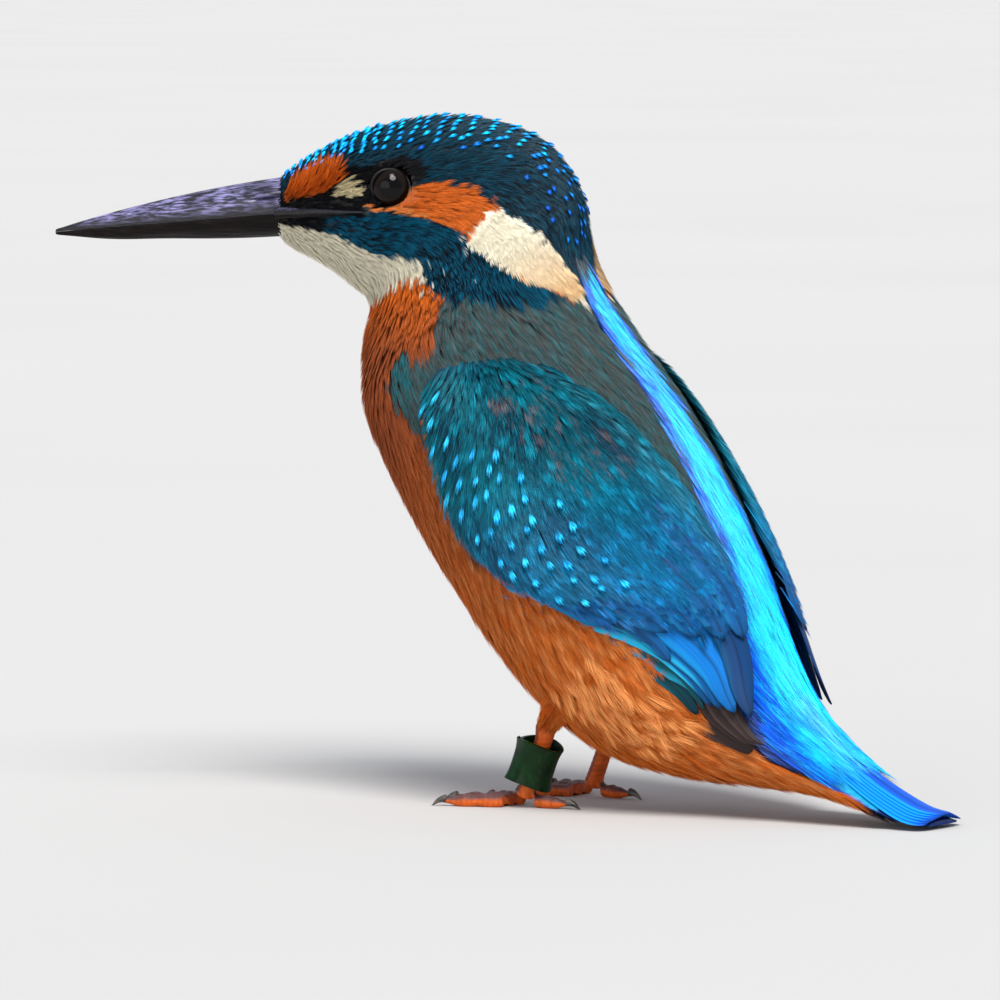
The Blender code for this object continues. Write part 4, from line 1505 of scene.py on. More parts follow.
@dataclass
class LegRing:
    """The loose plastic ring on the left leg: an open tube with an overlapped seam."""

    radius: float = 0.0031
    wall: float = 0.0005
    height: float = 0.0063
    flare: float = 0.00035

    def build(self) -> Item:
        """Models the ring at its CAD place."""
        middle = middle_of("leg_ring")
        shank_low, shank_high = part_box("tarsus_left")
        axis = Vector((0, shank_high.y - shank_low.y - 0.0022, shank_high.z - shank_low.z)).normalized()
        tilt = Vector((0, 0, 1)).rotation_difference(axis).to_matrix().to_4x4()
        Bench.clear()
        bpy.ops.mesh.primitive_cylinder_add(vertices=72, radius=self.radius, depth=self.height,
            end_fill_type="NOTHING")
        ring = Bench.named("leg_ring_band")
        Bench.edit(ring)
        bpy.ops.mesh.subdivide(number_cuts=9)
        bpy.ops.object.mode_set(mode="OBJECT")
        points = Bench.places(ring)
        angle = np.arctan2(points[:, 1], points[:, 0])
        share = points[:, 2] / self.height * 2
        away = self.radius + self.flare * (np.abs(share) ** 3 - 0.4)
        away += 0.00012 * np.cos(2 * angle + 0.6)
        seam = (angle + 0.9 + 0.08 * share) % (2 * np.pi)
        away += 0.00028 * bell(seam, 0.28) + 0.00022 * held(1 - seam / 1.2)
        points[:, 0], points[:, 1] = away * np.cos(angle), away * np.sin(angle)
        points[:, 2] += 0.00025 * np.sin(angle * 2 + 1.1)
        Bench.place(ring, points)
        Bench.modify(ring, "SOLIDIFY", thickness=self.wall, offset=-1)
        Bench.modify(ring, "BEVEL", width=0.00014, segments=3, limit_method="ANGLE")
        ring.matrix_world = Matrix.Translation(middle) @ tilt
        Bench.apply(ring)
        Bench.outward(ring)
        bpy.ops.object.shade_smooth_by_angle(angle=math.radians(45))
        return hand_over(ring, RingFinish().build(), "ring", "leg_ring")


Region = Callable[[Array, Array], Array]
Knots = tuple[Pair, ...]
FEATHER_LENGTHS: Knots = ((0, 1.3), (1, 1.8), (3, 2.4), (5, 3.6), (7, 5.0), (9, 6.2), (12, 6.4), (18, 6))


@dataclass
class Tract:
    """One tract of like feathers, scattered evenly over part of the body.

    The region tells where feathers' middles lie, from places and degrees from the back's middle.
    Gaps between roots are in millimetres, heights and the thickness in metres. Longer is a factor
    on the usual length there, wider a tuft's width over its length, and lean turns it away from
    the back. Tinted gives the colours where the body's markings don't.
    """

    name: str
    pattern: Pattern
    places: Pair
    region: Region
    gap: Knots
    longer: float = 1.0
    wider: float = 0.27
    lean: float = 0.0
    high: float = 0.0001
    low: float = -0.0009
    by_eyes: bool = False
    thickness: float = 0.00008
    ruffle: float = 0.05
    lift: float = 0.00007
    contrast: float = 0.24
    tinted: Callable[[Array, Array], Tints] | None = None


@dataclass
class Plumage:
    """Every tract of feathers, laid from the same few modelled barbs and vanes."""

    run: BodyRun
    body: Chart
    wings: dict[Side, Chart]
    markings: Markings
    eyes: Eyes

    def __post_init__(self) -> None:
        """Models the few patterns and makes the finishes that all feathers share."""
        hair = model_barb((0.0,), (1.0,))
        hair.smooth = False
        blade = model_barb((0.0, 0.55), (0.8, 1.0))
        self.tuft = hair.fan(17, 0.45, 1.0, 0.17, 0.2, 0.7)
        self.down = hair.fan(12, 0.35, 1.0, 0.22, 0.22, 0.4)
        self.bristle = hair.fan(7, 0.2, 0.7, 0.26, 0.2, 0.2)
        self.drop = blade.fan(5, 0.08, 0.8, 0.32, 0.16, 0.3)
        self.silk = hair.fan(16, 0.4, 1.0, 0.15, 0.3, 0.3, 0.2)
        self.vane = model_vane(16, 12)
        self.short_vane = model_vane(9, 8)
        self.gloss = PlumageFinish("feather", 0.5, 0.2, 0.0).build()
        self.soft = PlumageFinish("down_feather", 0.75, 0.1, 0.02).build()
        self.bright = PlumageFinish("azure_feather", 0.42, 0.35, 0.0, 0.3).build()
        self.blade = PlumageFinish("flight_feather", 0.52, 0.16, 0.0, 0.2, 46.0, 0.00002).build()

    def clear_of_eyes(self, place: Array, turn: Array, gap: float = 0.00305) -> Array:
        """Tells which roots stand outside both eyes' lids."""
        points = self.body.read(self.body.points, place, turn)
        free = np.ones(len(place), bool)
        for side in Side:
            away = points - np.array(self.eyes.centre(side))
            axis = np.array(self.eyes.axis(side))
            flat = away - (away @ axis)[:, None] * axis
            free &= ~((np.linalg.norm(flat, axis=1) < gap) & ((away @ axis) > -0.004))
        return free

    def steer(self, roots: Roots) -> Roots:
        """Turns feathers that would lie over an eye so that they pass round it, and shortens them."""
        for _ in range(3):
            by_place, by_turn = self.body.reach(roots.place, roots.turn)
            cos, sin = np.cos(roots.lean), np.sin(roots.lean)
            for share in (0.5, 1.0):
                reach = roots.length * share
                hit = ~self.clear_of_eyes(roots.place + reach * cos / by_place,
                    roots.turn + reach * sin / by_turn, 0.00272)
                middle = np.radians(EYE_TURN) * np.sign(roots.turn[hit])
                roots.lean[hit] += np.where(roots.turn[hit] > middle, 0.3, -0.3)
                roots.length[hit] *= 0.85
        return roots

    @staticmethod
    def flow(place: Array, turn: Array) -> Array:
        """Returns how far feathers lean away from the back: the neck's sweep back towards it."""
        a = degrees(turn)
        sides = held((a - 4) / 30) * held((150 - a) / 40)
        return -sides * line(place, (0, 0), (2.4, 0.05), (3.4, 0.3), (4.6, 0.55), (5.6, 0.66), (6.8, 0.5),
            (8.2, 0.08), (9, 0))

    def grow(self, coat: Coat, tract: Tract) -> None:
        """Scatters one tract's roots and lays its feathers on a coat."""
        def middles(place: Array, turn: Array) -> tuple[Array, Array]:
            """Returns where the middles of feathers lie, from their roots."""
            reach = 0.5 * line(place, *FEATHER_LENGTHS) * tract.longer * MM
            lean = (tract.lean + self.flow(place, turn)) * np.where(turn >= 0, 1, -1)
            by_place, by_turn = self.body.reach(place, turn)
            return place + reach * np.cos(lean) / by_place, turn + reach * np.sin(lean) / by_turn

        def mask(place: Array, turn: Array) -> Array:
            """Tells which roots have their middles in the tract's region."""
            s, t = middles(place, turn)
            return tract.region(s, degrees(t))

        place, turn = self.body.sow(mask, lambda s, t: line(s, *tract.gap) * MM,
                                    sum(map(ord, tract.name)), tract.places)
        if tract.by_eyes:
            free = self.clear_of_eyes(place, turn)
            place, turn = place[free], turn[free]
        length = line(place, *FEATHER_LENGTHS) * tract.longer * MM
        middle = middles(place, turn)
        tints = tract.tinted(*middle) if tract.tinted else self.markings.tints(*middle, coat.rng)
        lean = tract.lean + self.flow(place, turn)
        roots = Roots.lying(place, turn, length, length * tract.wider, coat.rng, lean, 0.0, tract.high,
                            tract.thickness, tract.ruffle, tract.lift)
        roots.low = line(place, (0, 0.45), (3, 0.6), (6, 0.9), (18, 1.0)) * tract.low
        coat.lay(tract.pattern, self.steer(roots) if tract.by_eyes else roots, tints, tract.contrast)

    def head(self) -> None:
        """Lays the crown's dark hair and bright spots, then the short feathers of face and neck."""
        rng = np.random.default_rng(SEED + 1)
        marks = self.markings
        edge = marks.crown_edge
        coat = Coat("crown_feathers", self.body, rng)
        self.grow(coat, Tract("crown", self.down, (0.0, 7.2), lambda s, a: a < edge(s),
                              ((0, 0.42), (4, 0.6), (7, 0.75)), wider=0.3, by_eyes=True))
        self.crown_spots(coat)
        coat.build(self.gloss, "crown_feathers", "head")
        face = Coat("face_feathers", self.body, rng)
        self.grow(face, Tract(
            "face", self.down, (0.0, 6.6),
            lambda s, a: (a > edge(s)) & (s < line(a, (40, 7.2), (90, 6.6), (180, 5.6)))
            & ~marks.head(s, a)["patch"] & ~marks.head(s, a)["throat"],
            ((0, 0.38), (2, 0.46), (4.5, 0.6), (7, 0.75)), by_eyes=True))
        self.grow(face, Tract("throat", self.down, (0.0, 6.0), lambda s, a: marks.head(s, a)["throat"],
                              ((0, 0.42), (3, 0.55), (5, 0.65)), ruffle=0.03, lift=0.00003,
                              thickness=0.00006, contrast=0.06))
        self.grow(face, Tract("patch", self.down, (4.6, 7.2), lambda s, a: marks.head(s, a)["patch"],
                              ((0, 0.5),), 0.9, 0.34, 0.0, 0.0005, contrast=0.05, ruffle=0.02,
                              thickness=0.00005, lift=0.00002, tinted=marks.patch))
        self.lore(face)
        face.build(self.soft, "crown_feathers", "head")

    def crown_spots(self, coat: Coat) -> None:
        """Lays the bright tips on the crown, in staggered rows that fade towards its sides."""
        def columns(k: int, row: float) -> Array:
            """Returns the turns of one row's spots."""
            step = 0.0014 / self.body.reach(np.array([row]), np.array([0.0]))[1][0]
            return (np.arange(-40, 41) + (k % 2) / 2) * step

        place, turn = staggered(np.arange(0.25, 6.6, 0.225), columns)
        n, rng = len(place), coat.rng
        place, turn = place + rng.normal(0, 0.03, n), turn + rng.normal(0, 0.012, n)
        a = degrees(turn)
        share = held((line(place, (0, 42), (2, 52), (4.5, 52), (5.5, 38), (7, 30)) - a) / 18)
        share *= line(place, (0, 0.8), (2, 1), (4.6, 1), (5.6, 0.3), (6.6, 0.15))
        keep = (rng.uniform(0, 1, n) < share**0.6) & (a < self.markings.crown_edge(place) - 3)
        place, turn, share = place[keep], turn[keep], share[keep]
        n = len(place)
        spot = mix(Hue.DEEP_AZURE * 0.7, Hue.CROWN_SPOT, share * rng.uniform(0.7, 1.1, n))
        spot = mix(spot, Hue.AZURE, (rng.uniform(0, 1, n) < 0.4) * share)
        length = line(place, (0, 0.9), (2, 1.4), (7, 1.6)) * MM
        roots = Roots.lying(place, turn, length, length * line(place, (0, 0.7), (2.5, 0.9), (6, 0.6)), rng,
            self.flow(place, turn), -0.0003, 0.00026, 0.00016, 0.12)
        tints = Tints.plain(spot, spot * 1.25, 0.3)
        tints.root = mix(spot, Hue.NIGHT, np.full(n, 0.8))
        coat.lay(self.drop, self.steer(roots), tints, 0.15)

    def lore(self, coat: Coat) -> None:
        """Lays the upright orange tufts before the eyes."""
        region = lambda s, t: self.markings.head(s, degrees(t))["lore"]
        place, turn = self.body.sow(region, 0.00042, 31, (0.2, 2.1))
        n = len(place)
        tints = Tints.plain(np.tile(Hue.LORE, (n, 1)), Hue.LORE * 0.45, 0.3, Hue.EAR * 1.3,
            coat.rng.uniform(0.2, 1, n))
        up = -1.0 + 0.8 * (degrees(turn) - 50) / 30
        roots = Roots.lying(place, turn, 0.0021, 0.0007, coat.rng, up, -0.0004, 0.0006, 0.00014, 0.22, 0.0002)
        coat.lay(self.bristle, roots, tints, 0.3)

    def trunk(self) -> None:
        """Lays neck, mantle, breast, belly, back stripe, rump and under-tail feathers."""
        rng = np.random.default_rng(SEED + 2)
        marks, tuft = self.markings, self.tuft
        mantle, breast, belly, back, under = (
            Coat(part + "_feathers", self.body, rng)
            for part in ("mantle", "breast", "belly", "back", "undertail"))
        self.grow(mantle, Tract(
            "mantle", tuft, (5.2, 11.5),
            lambda s, a: (a < line(s, (5.6, 0), (6.2, 60), (6.6, 100), (7.6, 108), (8.4, 70), (11.5, 40)))
            & (a > marks.crown_edge(s) + 5 * (s < 7.3)) & (a > marks.stripe_edge(s) - 1) & ~covered(s, a),
            ((0, 0.8),), 1.1, 0.24, 0.05, 0.00015))
        mantle.build(self.soft, "mantle_feathers", "neck")
        self.grow(breast, Tract(
            "breast", tuft, (3.9, 9.6),
            lambda s, a: (a > line(s, (4.2, 150), (5.6, 112), (6.0, 95), (6.5, 95), (7.3, 100), (9.6, 94)))
            & ~covered(s, a) & (s > marks.throat_end(a) - 0.1), ((0, 0.82),), lean=0.03, contrast=0.16))
        self.grow(breast, Tract(
            "bib", self.down, (6.6, 9.4),
            lambda s, a: (np.abs(a - wing_edges(s)[2] + 1) < 4) & (s > 7.9) & (s < 9.7),
            ((0, 0.9),), 0.8, 0.2, -0.75, 0.0019, ruffle=0.4, lift=0.0003, tinted=lambda s, t: Tints.plain(
                np.tile(Hue.BREAST, (len(s), 1)), Hue.MANTLE, 0.3, Hue.PALE_TIP, 0.5)))
        breast.build(self.soft, "rufous_feathers", "trunk", "neck")
        self.grow(belly, Tract(
            "belly", tuft, (9.0, 14.6),
            lambda s, a: (a > marks.belly_edge(s)) & ~covered(s, a) & (s > 9.5)
            & (s < line(a, (60, 14.0), (180, 15.1))),
            ((0, 0.92),), 1.1, 0.29, high=0.0003, ruffle=0.1, lift=0.00015, contrast=0.2))
        self.grow(belly, Tract(
            "wisps", tuft, (9.6, 13.0),
            lambda s, a: (a > np.maximum(wing_edges(s)[2] - 2, 84)) & (a < wing_edges(s)[2] + 7)
            & (s > 10.0) & (s < 12.3), ((0, 1.0),), 0.9, 0.26, -0.3, 0.0013, ruffle=0.16, lift=0.0003))
        self.grow(belly, Tract(
            "flank_plumes", tuft, (10.6, 12.8), lambda s, a: (a > 90) & (a < 124) & (s > 11.2) & (s < 12.9),
            ((0, 1.3),), 1.0, 0.34, 0.1, 0.0008, ruffle=0.25, lift=0.0002, tinted=lambda s, t: Tints.plain(
                np.tile(Hue.BELLY, (len(s), 1)), Hue.PALE_TIP, 0.3, Hue.PALE_TIP * 1.2, 1.0)))
        self.legs(belly)
        belly.build(self.soft, "rufous_feathers", "trunk", "thigh_left", "thigh_right")
        self.grow(back, Tract(
            "stripe", self.silk, (6.7, 15.2),
            lambda s, a: (a < marks.stripe_edge(s)) & (a < 76) & (s > 7.15) & (s < 15.6),
            ((0, 0.62),), 1.8, 0.13, high=0.0005, ruffle=0.03, lift=0.00012))
        # The rump tract's lower sides carry the markings' painted shade, a near-black blue under the wing
        # tips.
        self.grow(back, Tract(
            "rump", self.silk, (11.2, 14.6), lambda s, a: (a >= marks.stripe_edge(s) - 3)
            & (a < line(s, (12.4, 46), (13.4, 60), (14.6, 80))) & (s > 12.4), ((0, 1.0),), 1.2, 0.25))
        back.build(self.bright, "azure_feathers", "rump")
        self.grow(under, Tract(
            "undertail", tuft, (13.6, 16.2), lambda s, a: (a > line(s, (14, 92), (16, 100), (17, 110)))
            & (s > 14.2), ((0, 0.85),), 1.1, 0.24, high=0.0002))
        under.build(self.soft, "rufous_feathers", "tail")

    def legs(self, coat: Coat) -> None:
        """Lays the short orange feathers that clothe the legs down to the bare shanks."""
        turn = np.linspace(-np.pi, np.pi, 33)
        for side in Side:
            thigh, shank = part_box("thigh_" + side.word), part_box("tarsus_" + side.word)
            top = np.array(((thigh[0].x + thigh[1].x) / 2, thigh[1].y - 0.001, thigh[1].z + 0.0005))
            bottom = np.array(((shank[0].x + shank[1].x) / 2, shank[1].y - 0.0014, shank[1].z - 0.0002))
            run = (bottom - top) / np.linalg.norm(bottom - top)
            out = np.array((1.0, 0, 0))
            share = np.linspace(-0.25, 1.1, 24)[:, None, None]
            ring = out * np.cos(turn)[:, None] + np.cross(run, out) * np.sin(turn)[:, None]
            chart = Chart(top + (bottom - top) * share + ring[None] * (0.0031 - 0.0019 * held(share)),
                (-0.25, 1.1), (-math.pi, math.pi), True)
            if chart.normals[12, 16] @ ring[16] < 0:
                chart.normals *= -1
            place, around = chart.sow(lambda s, t: np.ones(len(s)), 0.0005,
                                      40 + side.value, (-0.2, 0.72))
            n = len(place)
            tints = self.markings.tints(np.full(n, 11.8), np.full(n, 2.6), coat.rng)
            roots = Roots.lying(place, around, 0.0026, 0.0007, coat.rng, 0.0, -0.0003, 0.0003, 0.00012, 0.12,
                0.0001)
            coat.chart = chart
            coat.lay(self.down, roots, tints)

    @staticmethod
    def shoulder(along: Array) -> Array:
        """Returns the wing's half width at a place, as a share, where the shoulder is round."""
        return np.sqrt(1 - (1 - np.clip(along / 0.13, 0.02, 1)) ** 2)

    def on_wing(self, along: Array, across: Array) -> Array:
        """Tells which places lie on a wing whose shoulder is round."""
        round_off = self.shoulder(along)
        return (across > 0.88 - 0.93 * round_off) & (across < 0.86 + 0.1 * round_off)

    def wing(self, side: Side) -> None:
        """Lays one wing's fine coverts, its long lower coverts and the bright drops."""
        rng = np.random.default_rng(SEED + 5 + side.value)
        chart = self.wings[side]
        coat = Coat("covert_feathers_" + side.word, chart, rng)
        for k, share in enumerate(np.linspace(0, 1, 9)):
            root = (0.06 + 0.38 * share, 0.9 - 0.05 * share)
            tip = (0.27 + 0.41 * share, 0.99 - 0.09 * share)
            base = mix(Hue.COVERT_DARK, Hue.BLUE * 0.6, share * 0.8)
            self.blade_between(coat, root, tip, 0.0034, -0.0009 + 0.00005 * k, base,
                mix(base, Hue.TEAL_STREAK, 0.55), self.short_vane)
        ends = lambda p, t: self.on_wing(p, t) & (
            p < line(t, (0, 0.5), (0.35, 0.55), (0.53, 0.53), (0.61, 0.49), (0.94, 0.42), (1.0, 0.36)))
        place, turn = chart.sow(ends, 0.00074, 50 + side.value, (0.01, 0.53))
        n = len(place)
        shade = 0.45 + 0.3 * np.sin(place * 31 + turn * 6) + 0.3 * np.sin(place * 13 - turn * 17)
        blade = mix(Hue.COVERT, Hue.COVERT_DARK, held(shade + rng.normal(0, 0.12, n)))
        rear = held((place - 0.26 + 0.1 * turn) / 0.3)
        blade = mix(blade, mix(Hue.COVERT, Hue.BLUE, 0.6), rear * 0.7)
        pink = (np.abs(place - 0.2) < 0.1) & (np.abs(turn - 0.24) < 0.16) & (rng.uniform(0, 1, n) < 0.6)
        fleck = mix(Hue.TEAL_STREAK, Hue.CROWN_SPOT, rear * 0.8)
        fleck[pink] = Hue.PINK_STREAK
        streaked = rng.uniform(0, 1, n) < 0.16
        fleck[streaked] *= 1.35
        tints = Tints.plain(blade, fleck, np.where(streaked, 0.9, rng.uniform(0.05, 0.35, n)), blade * 1.4,
            0.6)
        tints.root = blade * 0.4
        length = line(place, (0, 3.2), (0.2, 4.6), (0.5, 6.4)) * MM
        self.lay_on_wing(coat, side, place, turn, length, 0.24, tints, 0.0005, self.tuft)
        self.mottle(coat, side, ends)
        self.drops(coat, side)
        coat.build(self.gloss, "covert_feathers", f"wing_{side.word}_coverts")

    def mottle(self, coat: Coat, side: Side, ends: Region) -> None:
        """Lays loose tufts, blue with cyan barbs, where the fine coverts end."""
        region = lambda p, t: ends(p - 0.11, t) & ~ends(p - 0.02, t) & (p > 0.4) & (t > -0.02) & (t < 0.95)
        place, turn = coat.chart.sow(region, 0.00125, 70 + side.value, (0.4, 0.66))
        n, rng = len(place), coat.rng
        blade = mix(mix(Hue.COVERT_DARK, Hue.BLUE, rng.uniform(0.2, 0.9, n)), Hue.VANE_DARK, 0.2)
        tints = Tints.plain(blade, Hue.CROWN_SPOT, rng.uniform(0, 1, n) ** 3 * 0.8, blade * 1.3, 0.5)
        length = rng.uniform(3.0, 5.0, n) * MM
        self.lay_on_wing(coat, side, place, turn, length, 0.3, tints, 0.0006, self.tuft)

    def lay_on_wing(self, coat: Coat, side: Side, place: Array, turn: Array, length: Array, wider: float,
            tints: Tints, high: float, pattern: Pattern) -> None:
        """Lays feathers on a wing, fanning down at the shoulder and straight along it behind."""
        n, rng = len(place), coat.rng
        lean = line(place, (0, 0.7), (0.25, 0.5), (0.5, 0.1)) * np.clip(0.3 + turn, 0.1, 1) * side.value
        roots = Roots(place, turn, length * rng.uniform(0.88, 1.12, n), length * wider,
            lean + rng.normal(0, 0.04, n), rng.normal(0, 0.04, n) * length, np.full(n, high - 0.001),
            high + rng.normal(0, 0.00005, n), 0.00009)
        coat.lay(pattern, roots, tints, 0.36)

    def drops(self, coat: Coat, side: Side) -> None:
        """Lays the bright drops at the coverts' tips, in staggered rows along the wing's lower part."""
        def columns(k: int, row: float) -> Array:
            """Returns how far across the wing one row's drops lie."""
            lane = 2.9 * MM / coat.chart.reach(np.array([row]), np.array([0.6]))[1][0]
            across = 0.9 - (np.arange(9) + (k % 2) / 2) * lane
            return across[across > line(row, (0.04, 0.72), (0.14, 0.7), (0.2, 0.5), (0.38, 0.48), (0.5, 0.6))]

        place, turn = staggered(np.arange(0.05, 0.5, 0.038), columns)
        n, rng = len(place), coat.rng
        place, turn = place + rng.normal(0, 0.006, n), turn + rng.normal(0, 0.02, n)
        inside = self.on_wing(place, turn)
        place, turn = place[inside], turn[inside]
        n = len(place)
        spot = mix(Hue.DROP, Hue.CROWN_SPOT, rng.uniform(0, 0.8, n))
        tints = Tints.plain(mix(spot, Hue.COVERT, np.full(n, 0.5)), spot, 0.3, spot * 1.15, 1.0)
        tints.tip_from = 0.2
        length = rng.uniform(2.5, 3.4, n) * MM
        self.lay_on_wing(coat, side, place, turn, length, 0.44, tints, 0.0009, self.drop)

    def flight(self, side: Side) -> None:
        """Lays one wing's long feathers, from the lowest primaries to the uppermost tertial."""
        rng = np.random.default_rng(SEED + 9 + side.value)
        primaries, secondaries = (Coat(f"{part}_feathers_{side.word}", self.wings[side],
            rng) for part in ("primary", "secondary"))
        for k, (root, tip) in enumerate((((0.5, 1.0), (1.0, 1.12)), ((0.52, 0.95), (1.035, 1.0)),
                ((0.54, 0.86), (1.04, 0.8)), ((0.56, 0.8), (1.035, 0.57)), ((0.58, 0.62), (1.045, 0.34)))):
            self.blade_between(primaries, root, tip, 0.0044, -0.0026 + 0.0002 * k, Hue.BROWN, Hue.BROWN * 2.4,
                self.vane, Hue.BROWN * 0.3)
        primaries.build(self.blade, "primary_feathers", f"wing_{side.word}_primaries")
        # From the lowest vane up: the lower vanes' darker teal and blue (factors under 1) are partly their
        # own colour and partly painted shade low on the folded wing.
        teal, blue = Hue.COVERT * 0.6, Hue.BLUE
        spread = (((0.32, 1.2), (0.85, 1.0), 0.0044, teal * 0.5, 0.1), ((0.33, 1.16), (0.895, 0.83), 0.005,
            teal * 0.8, 0.4), ((0.34, 1.08), (0.935, 0.67), 0.006, blue * 0.6, 0.8),
            ((0.35, 1.0), (0.972, 0.52), 0.007, blue * 0.75, 0.6), ((0.36, 0.86), (1.0, 0.32), 0.0094,
            blue * 1.1, 0.15), ((0.40, 0.36), (0.985, 0.12), 0.0078, mix(blue * 0.3, Hue.VIOLET, 0.2), 0.04))
        for k, (root, tip, width, base, glow) in enumerate(spread):
            self.blade_between(secondaries, root, tip, width, -0.0017 + 0.0003 * k, base,
                mix(base, Hue.DROP, glow), self.vane)
        for k, tip in enumerate(((0.55, 0.92), (0.62, 0.74), (0.665, 0.55), (0.70, 0.34), (0.72, 0.12))):
            base = mix(mix(Hue.COVERT_DARK, blue, 0.5), Hue.VIOLET, k * 0.06)
            self.blade_between(secondaries, (0.38, tip[1] * 0.9 + 0.07), tip, 0.0064, -0.0001 + 0.0001 * k,
                base, mix(base, Hue.DROP, 0.12), self.short_vane)
        secondaries.build(self.blade, "secondary_feathers", f"wing_{side.word}_secondaries")

    def blade_between(self, coat: Coat, root: Pair, tip: Pair, width: float, height: float, blade: Array,
            edge: Array, pattern: Pattern, shaft: Array = Hue.VANE_DARK) -> None:
        """Lays one long vane from a root to a tip on a coat's chart.

        Args:
            coat: the coat that it joins.
            root, tip: their places and turns.
            width, height: the vane's width, and its height over the chart.
            blade, edge: the vane's colour and its outer edge's.
            pattern: the vane that is copied.
            shaft: the colour of its shaft and inner edge.
        """
        start, end = np.array(root)[:, None], np.array(tip)[:, None]
        down, around = (end - start) * coat.chart.reach(*(start + end) / 2)
        roots = Roots(*start, np.hypot(down, around), np.array([width]), np.arctan2(around, down),
            np.zeros(1), np.array([height - 0.0004]), np.array([height]), 0.0002)
        coat.lay(pattern, roots, VaneTints.plain(np.array([blade]), shaft, 0.0, edge), 0.06)

    def tail(self) -> None:
        """Lays the tail: twelve long vanes, folded into a narrow fan."""
        places, across = np.linspace(13.5, 18.6, 60), np.linspace(-1.4, 1.4, 41)
        y, z, pitch, _, wide, deep = smooth_rows(self.run.rows, places).T[:, :, None]
        y = y + np.maximum(0, places - 18.0)[:, None] * 5.0
        x = across[None] * 5.5
        rise = 0.95 * deep * np.sqrt(np.clip(1 - (x / (wide + 1.6)) ** 2, 0.03, 1))
        pitch = np.radians(pitch)
        flat = np.stack([x + 0 * y, y + rise * np.sin(pitch), z + rise * np.cos(pitch)], -1)
        chart = Chart(self.run.turned(flat, 0.0), (13.5, 18.6), (-1.4, 1.4), False)
        if chart.normals[5, 20, 2] < 0:
            chart.normals *= -1
        coat = Coat("tail_vanes", chart, np.random.default_rng(SEED + 21))
        for k in range(6):
            out = 1 - k / 5
            for sign in (-1, 1):
                tip = (18.04 - 0.147 * out, sign * (0.08 + 0.78 * out))
                self.blade_between(coat, (14.2, sign * 0.3 * out), tip, 0.0044, -0.0004 + 0.00018 * k,
                    Hue.TAIL * coat.rng.uniform(0.75, 1.05), mix(Hue.TAIL, Hue.AZURE, 0.35), self.vane)
        coat.build(self.blade, "tail_feathers", "tail")


class VaneTints(Tints):
    """A vane's colours: the flecks' along its shaft and rim, the tips' along its outer edge."""

    def over(self, across: Array, along: Array, streak: Array, chance: Array) -> Array:
        """Returns a colour for every vertex, as Tints does."""
        full = np.ones_like(streak)
        colour = self.blade[:, None] * full[..., None]
        colour = mix(colour, self.fleck[:, None], bell(across, 0.028) * 0.55 * full)
        colour = mix(colour, self.tip[:, None], held((across - 0.26) / 0.12) * full)
        rim = held((along - 0.9) / 0.1) * 0.4 * full
        return mix(colour, self.fleck[:, None], rim) * streak[..., None]


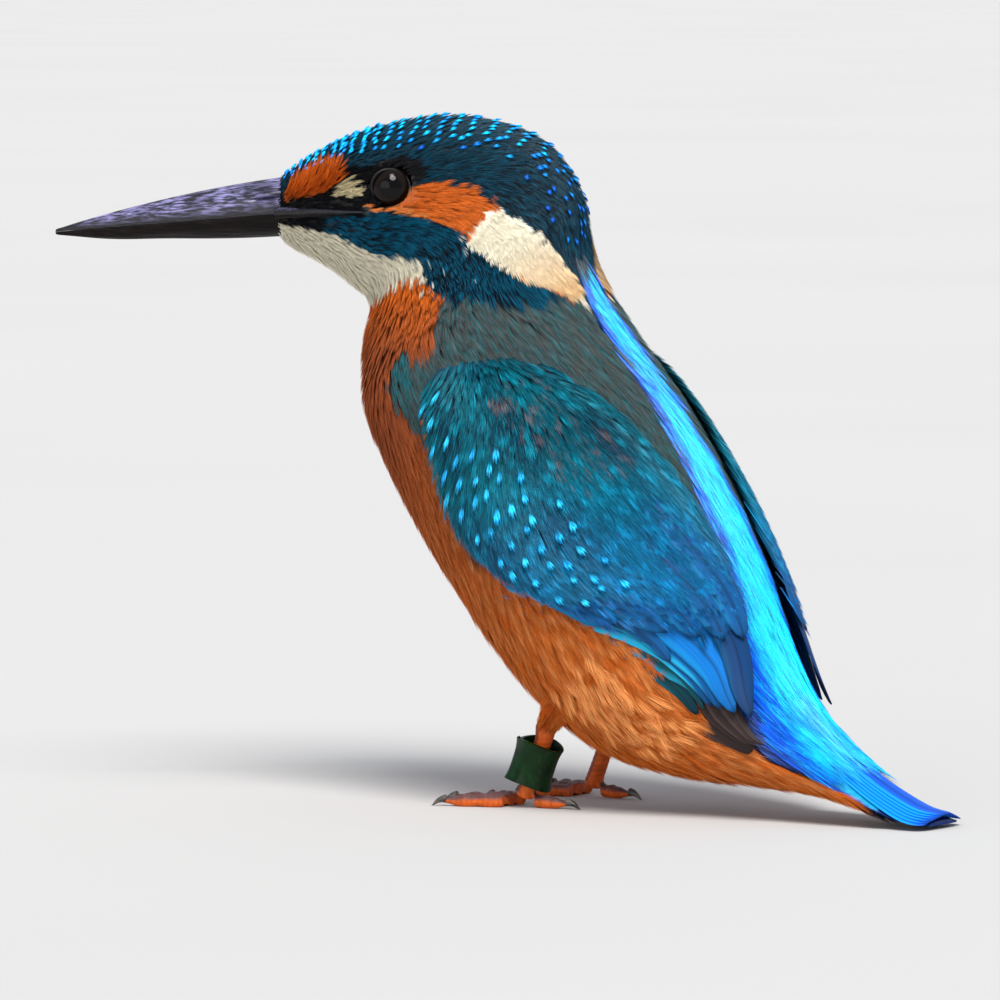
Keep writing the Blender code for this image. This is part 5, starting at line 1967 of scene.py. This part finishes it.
@dataclass
class Studio:
    """A pale floor, soft lamps and the long lens."""

    azimuth: float = 124.0
    elevation: float = 4.0
    distance: float = 1.2165
    lens: float = 300.0
    aim: Triple = (0.00302, -0.00443, 0.0448)

    def toward(self, azimuth: float, elevation: float) -> Vector:
        """Returns the direction of a place seen from the bird, by compass and height in degrees."""
        around, up = math.radians(azimuth), math.radians(elevation)
        flat = Vector((math.sin(around), -math.cos(around), 0))
        return flat * math.cos(up) + Vector((0, 0, math.sin(up)))

    def lamp(self, name: str, azimuth: float, elevation: float, power: float, angle: float,
            colour: Triple) -> None:
        """Adds one broad far light that looks at the bird."""
        light = bpy.data.lights.new(name, "SUN")
        light.energy, light.angle, light.color = power, math.radians(angle), colour
        way = self.toward(azimuth, elevation)
        Bench.add(name, light).rotation_euler = way.to_track_quat("Z", "Y").to_euler()

    def floor(self) -> None:
        """Lays the pale floor."""
        Bench.clear()
        bpy.ops.mesh.primitive_plane_add(size=80, location=(0, 0, 0))
        floor = Bench.named("floor")
        brush = Brush("floor_paint")
        cloud = brush.noise(brush.here(), 3, 2)
        brush.set(Base_Color=brush.blend(cloud, (0.47, 0.465, 0.455), (0.51, 0.505, 0.495)), Roughness=0.85)
        floor.data.materials.append(brush.material)

    def camera(self) -> None:
        """Sets the camera at the viewing angle."""
        data = bpy.data.cameras.new("camera")
        data.lens, data.sensor_width, data.clip_start, data.clip_end = self.lens, 36, 0.05, 200
        camera = Bench.add("camera", data)
        way = self.toward(self.azimuth, self.elevation)
        camera.location = Vector(self.aim) + way * self.distance
        camera.rotation_euler = way.to_track_quat("Z", "Y").to_euler()
        bpy.context.scene.camera = camera

    def build(self) -> None:
        """Sets up floor, lamps, sky and camera."""
        self.floor()
        self.lamp("key", self.azimuth + 12, 54, 3.3, 28, (1.0, 0.97, 0.93))
        self.lamp("window", self.azimuth + 8, 70, 1.1, 18, (0.95, 0.98, 1.0))
        self.lamp("fill", self.azimuth - 34, 10, 0.8, 50, (1.0, 0.97, 0.93))
        world = bpy.data.worlds.new("sky")
        world.use_nodes = True
        nodes, links = world.node_tree.nodes, world.node_tree.links
        glow, wall = nodes["Background"], nodes.new("ShaderNodeBackground")
        for node, colour, strength in ((glow, (0.86, 0.9, 1.0, 1), 0.6), (wall, (1.0, 1.0, 1.0, 1), 0.86)):
            node.inputs["Color"].default_value, node.inputs["Strength"].default_value = colour, strength
        chosen = nodes.new("ShaderNodeMixShader")
        links.new(nodes.new("ShaderNodeLightPath").outputs["Is Camera Ray"], chosen.inputs[0])
        links.new(glow.outputs[0], chosen.inputs[1])
        links.new(wall.outputs[0], chosen.inputs[2])
        links.new(chosen.outputs[0], nodes["World Output"].inputs["Surface"])
        bpy.context.scene.world = world
        bpy.context.scene.view_settings.view_transform = "Standard"
        self.camera()


def main() -> None:
    """Builds the bird piece by piece and sets the studio."""
    logging.basicConfig(level=logging.INFO, format="%(message)s")
    run = BodyRun()
    body = body_chart(run)
    wings = {side: wing_chart(run, side) for side in Side}
    markings = Markings()
    eyes = Eyes()
    for side in Side:
        eyes.build(side)
    Skin(run, body, wings, markings, eyes).build()
    Bill(run, body).build()
    claws = Claws()
    horn = claws.horn.build()
    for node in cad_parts:
        if node.startswith("claw"):
            claws.build(node, horn)
    LegRing().build()
    plumage = Plumage(run, body, wings, markings, eyes)
    plumage.head()
    plumage.trunk()
    for side in Side:
        plumage.wing(side)
        plumage.flight(side)
    plumage.tail()
    Studio().build()
    Bench.clear()


if __name__ == "__main__":
    main()
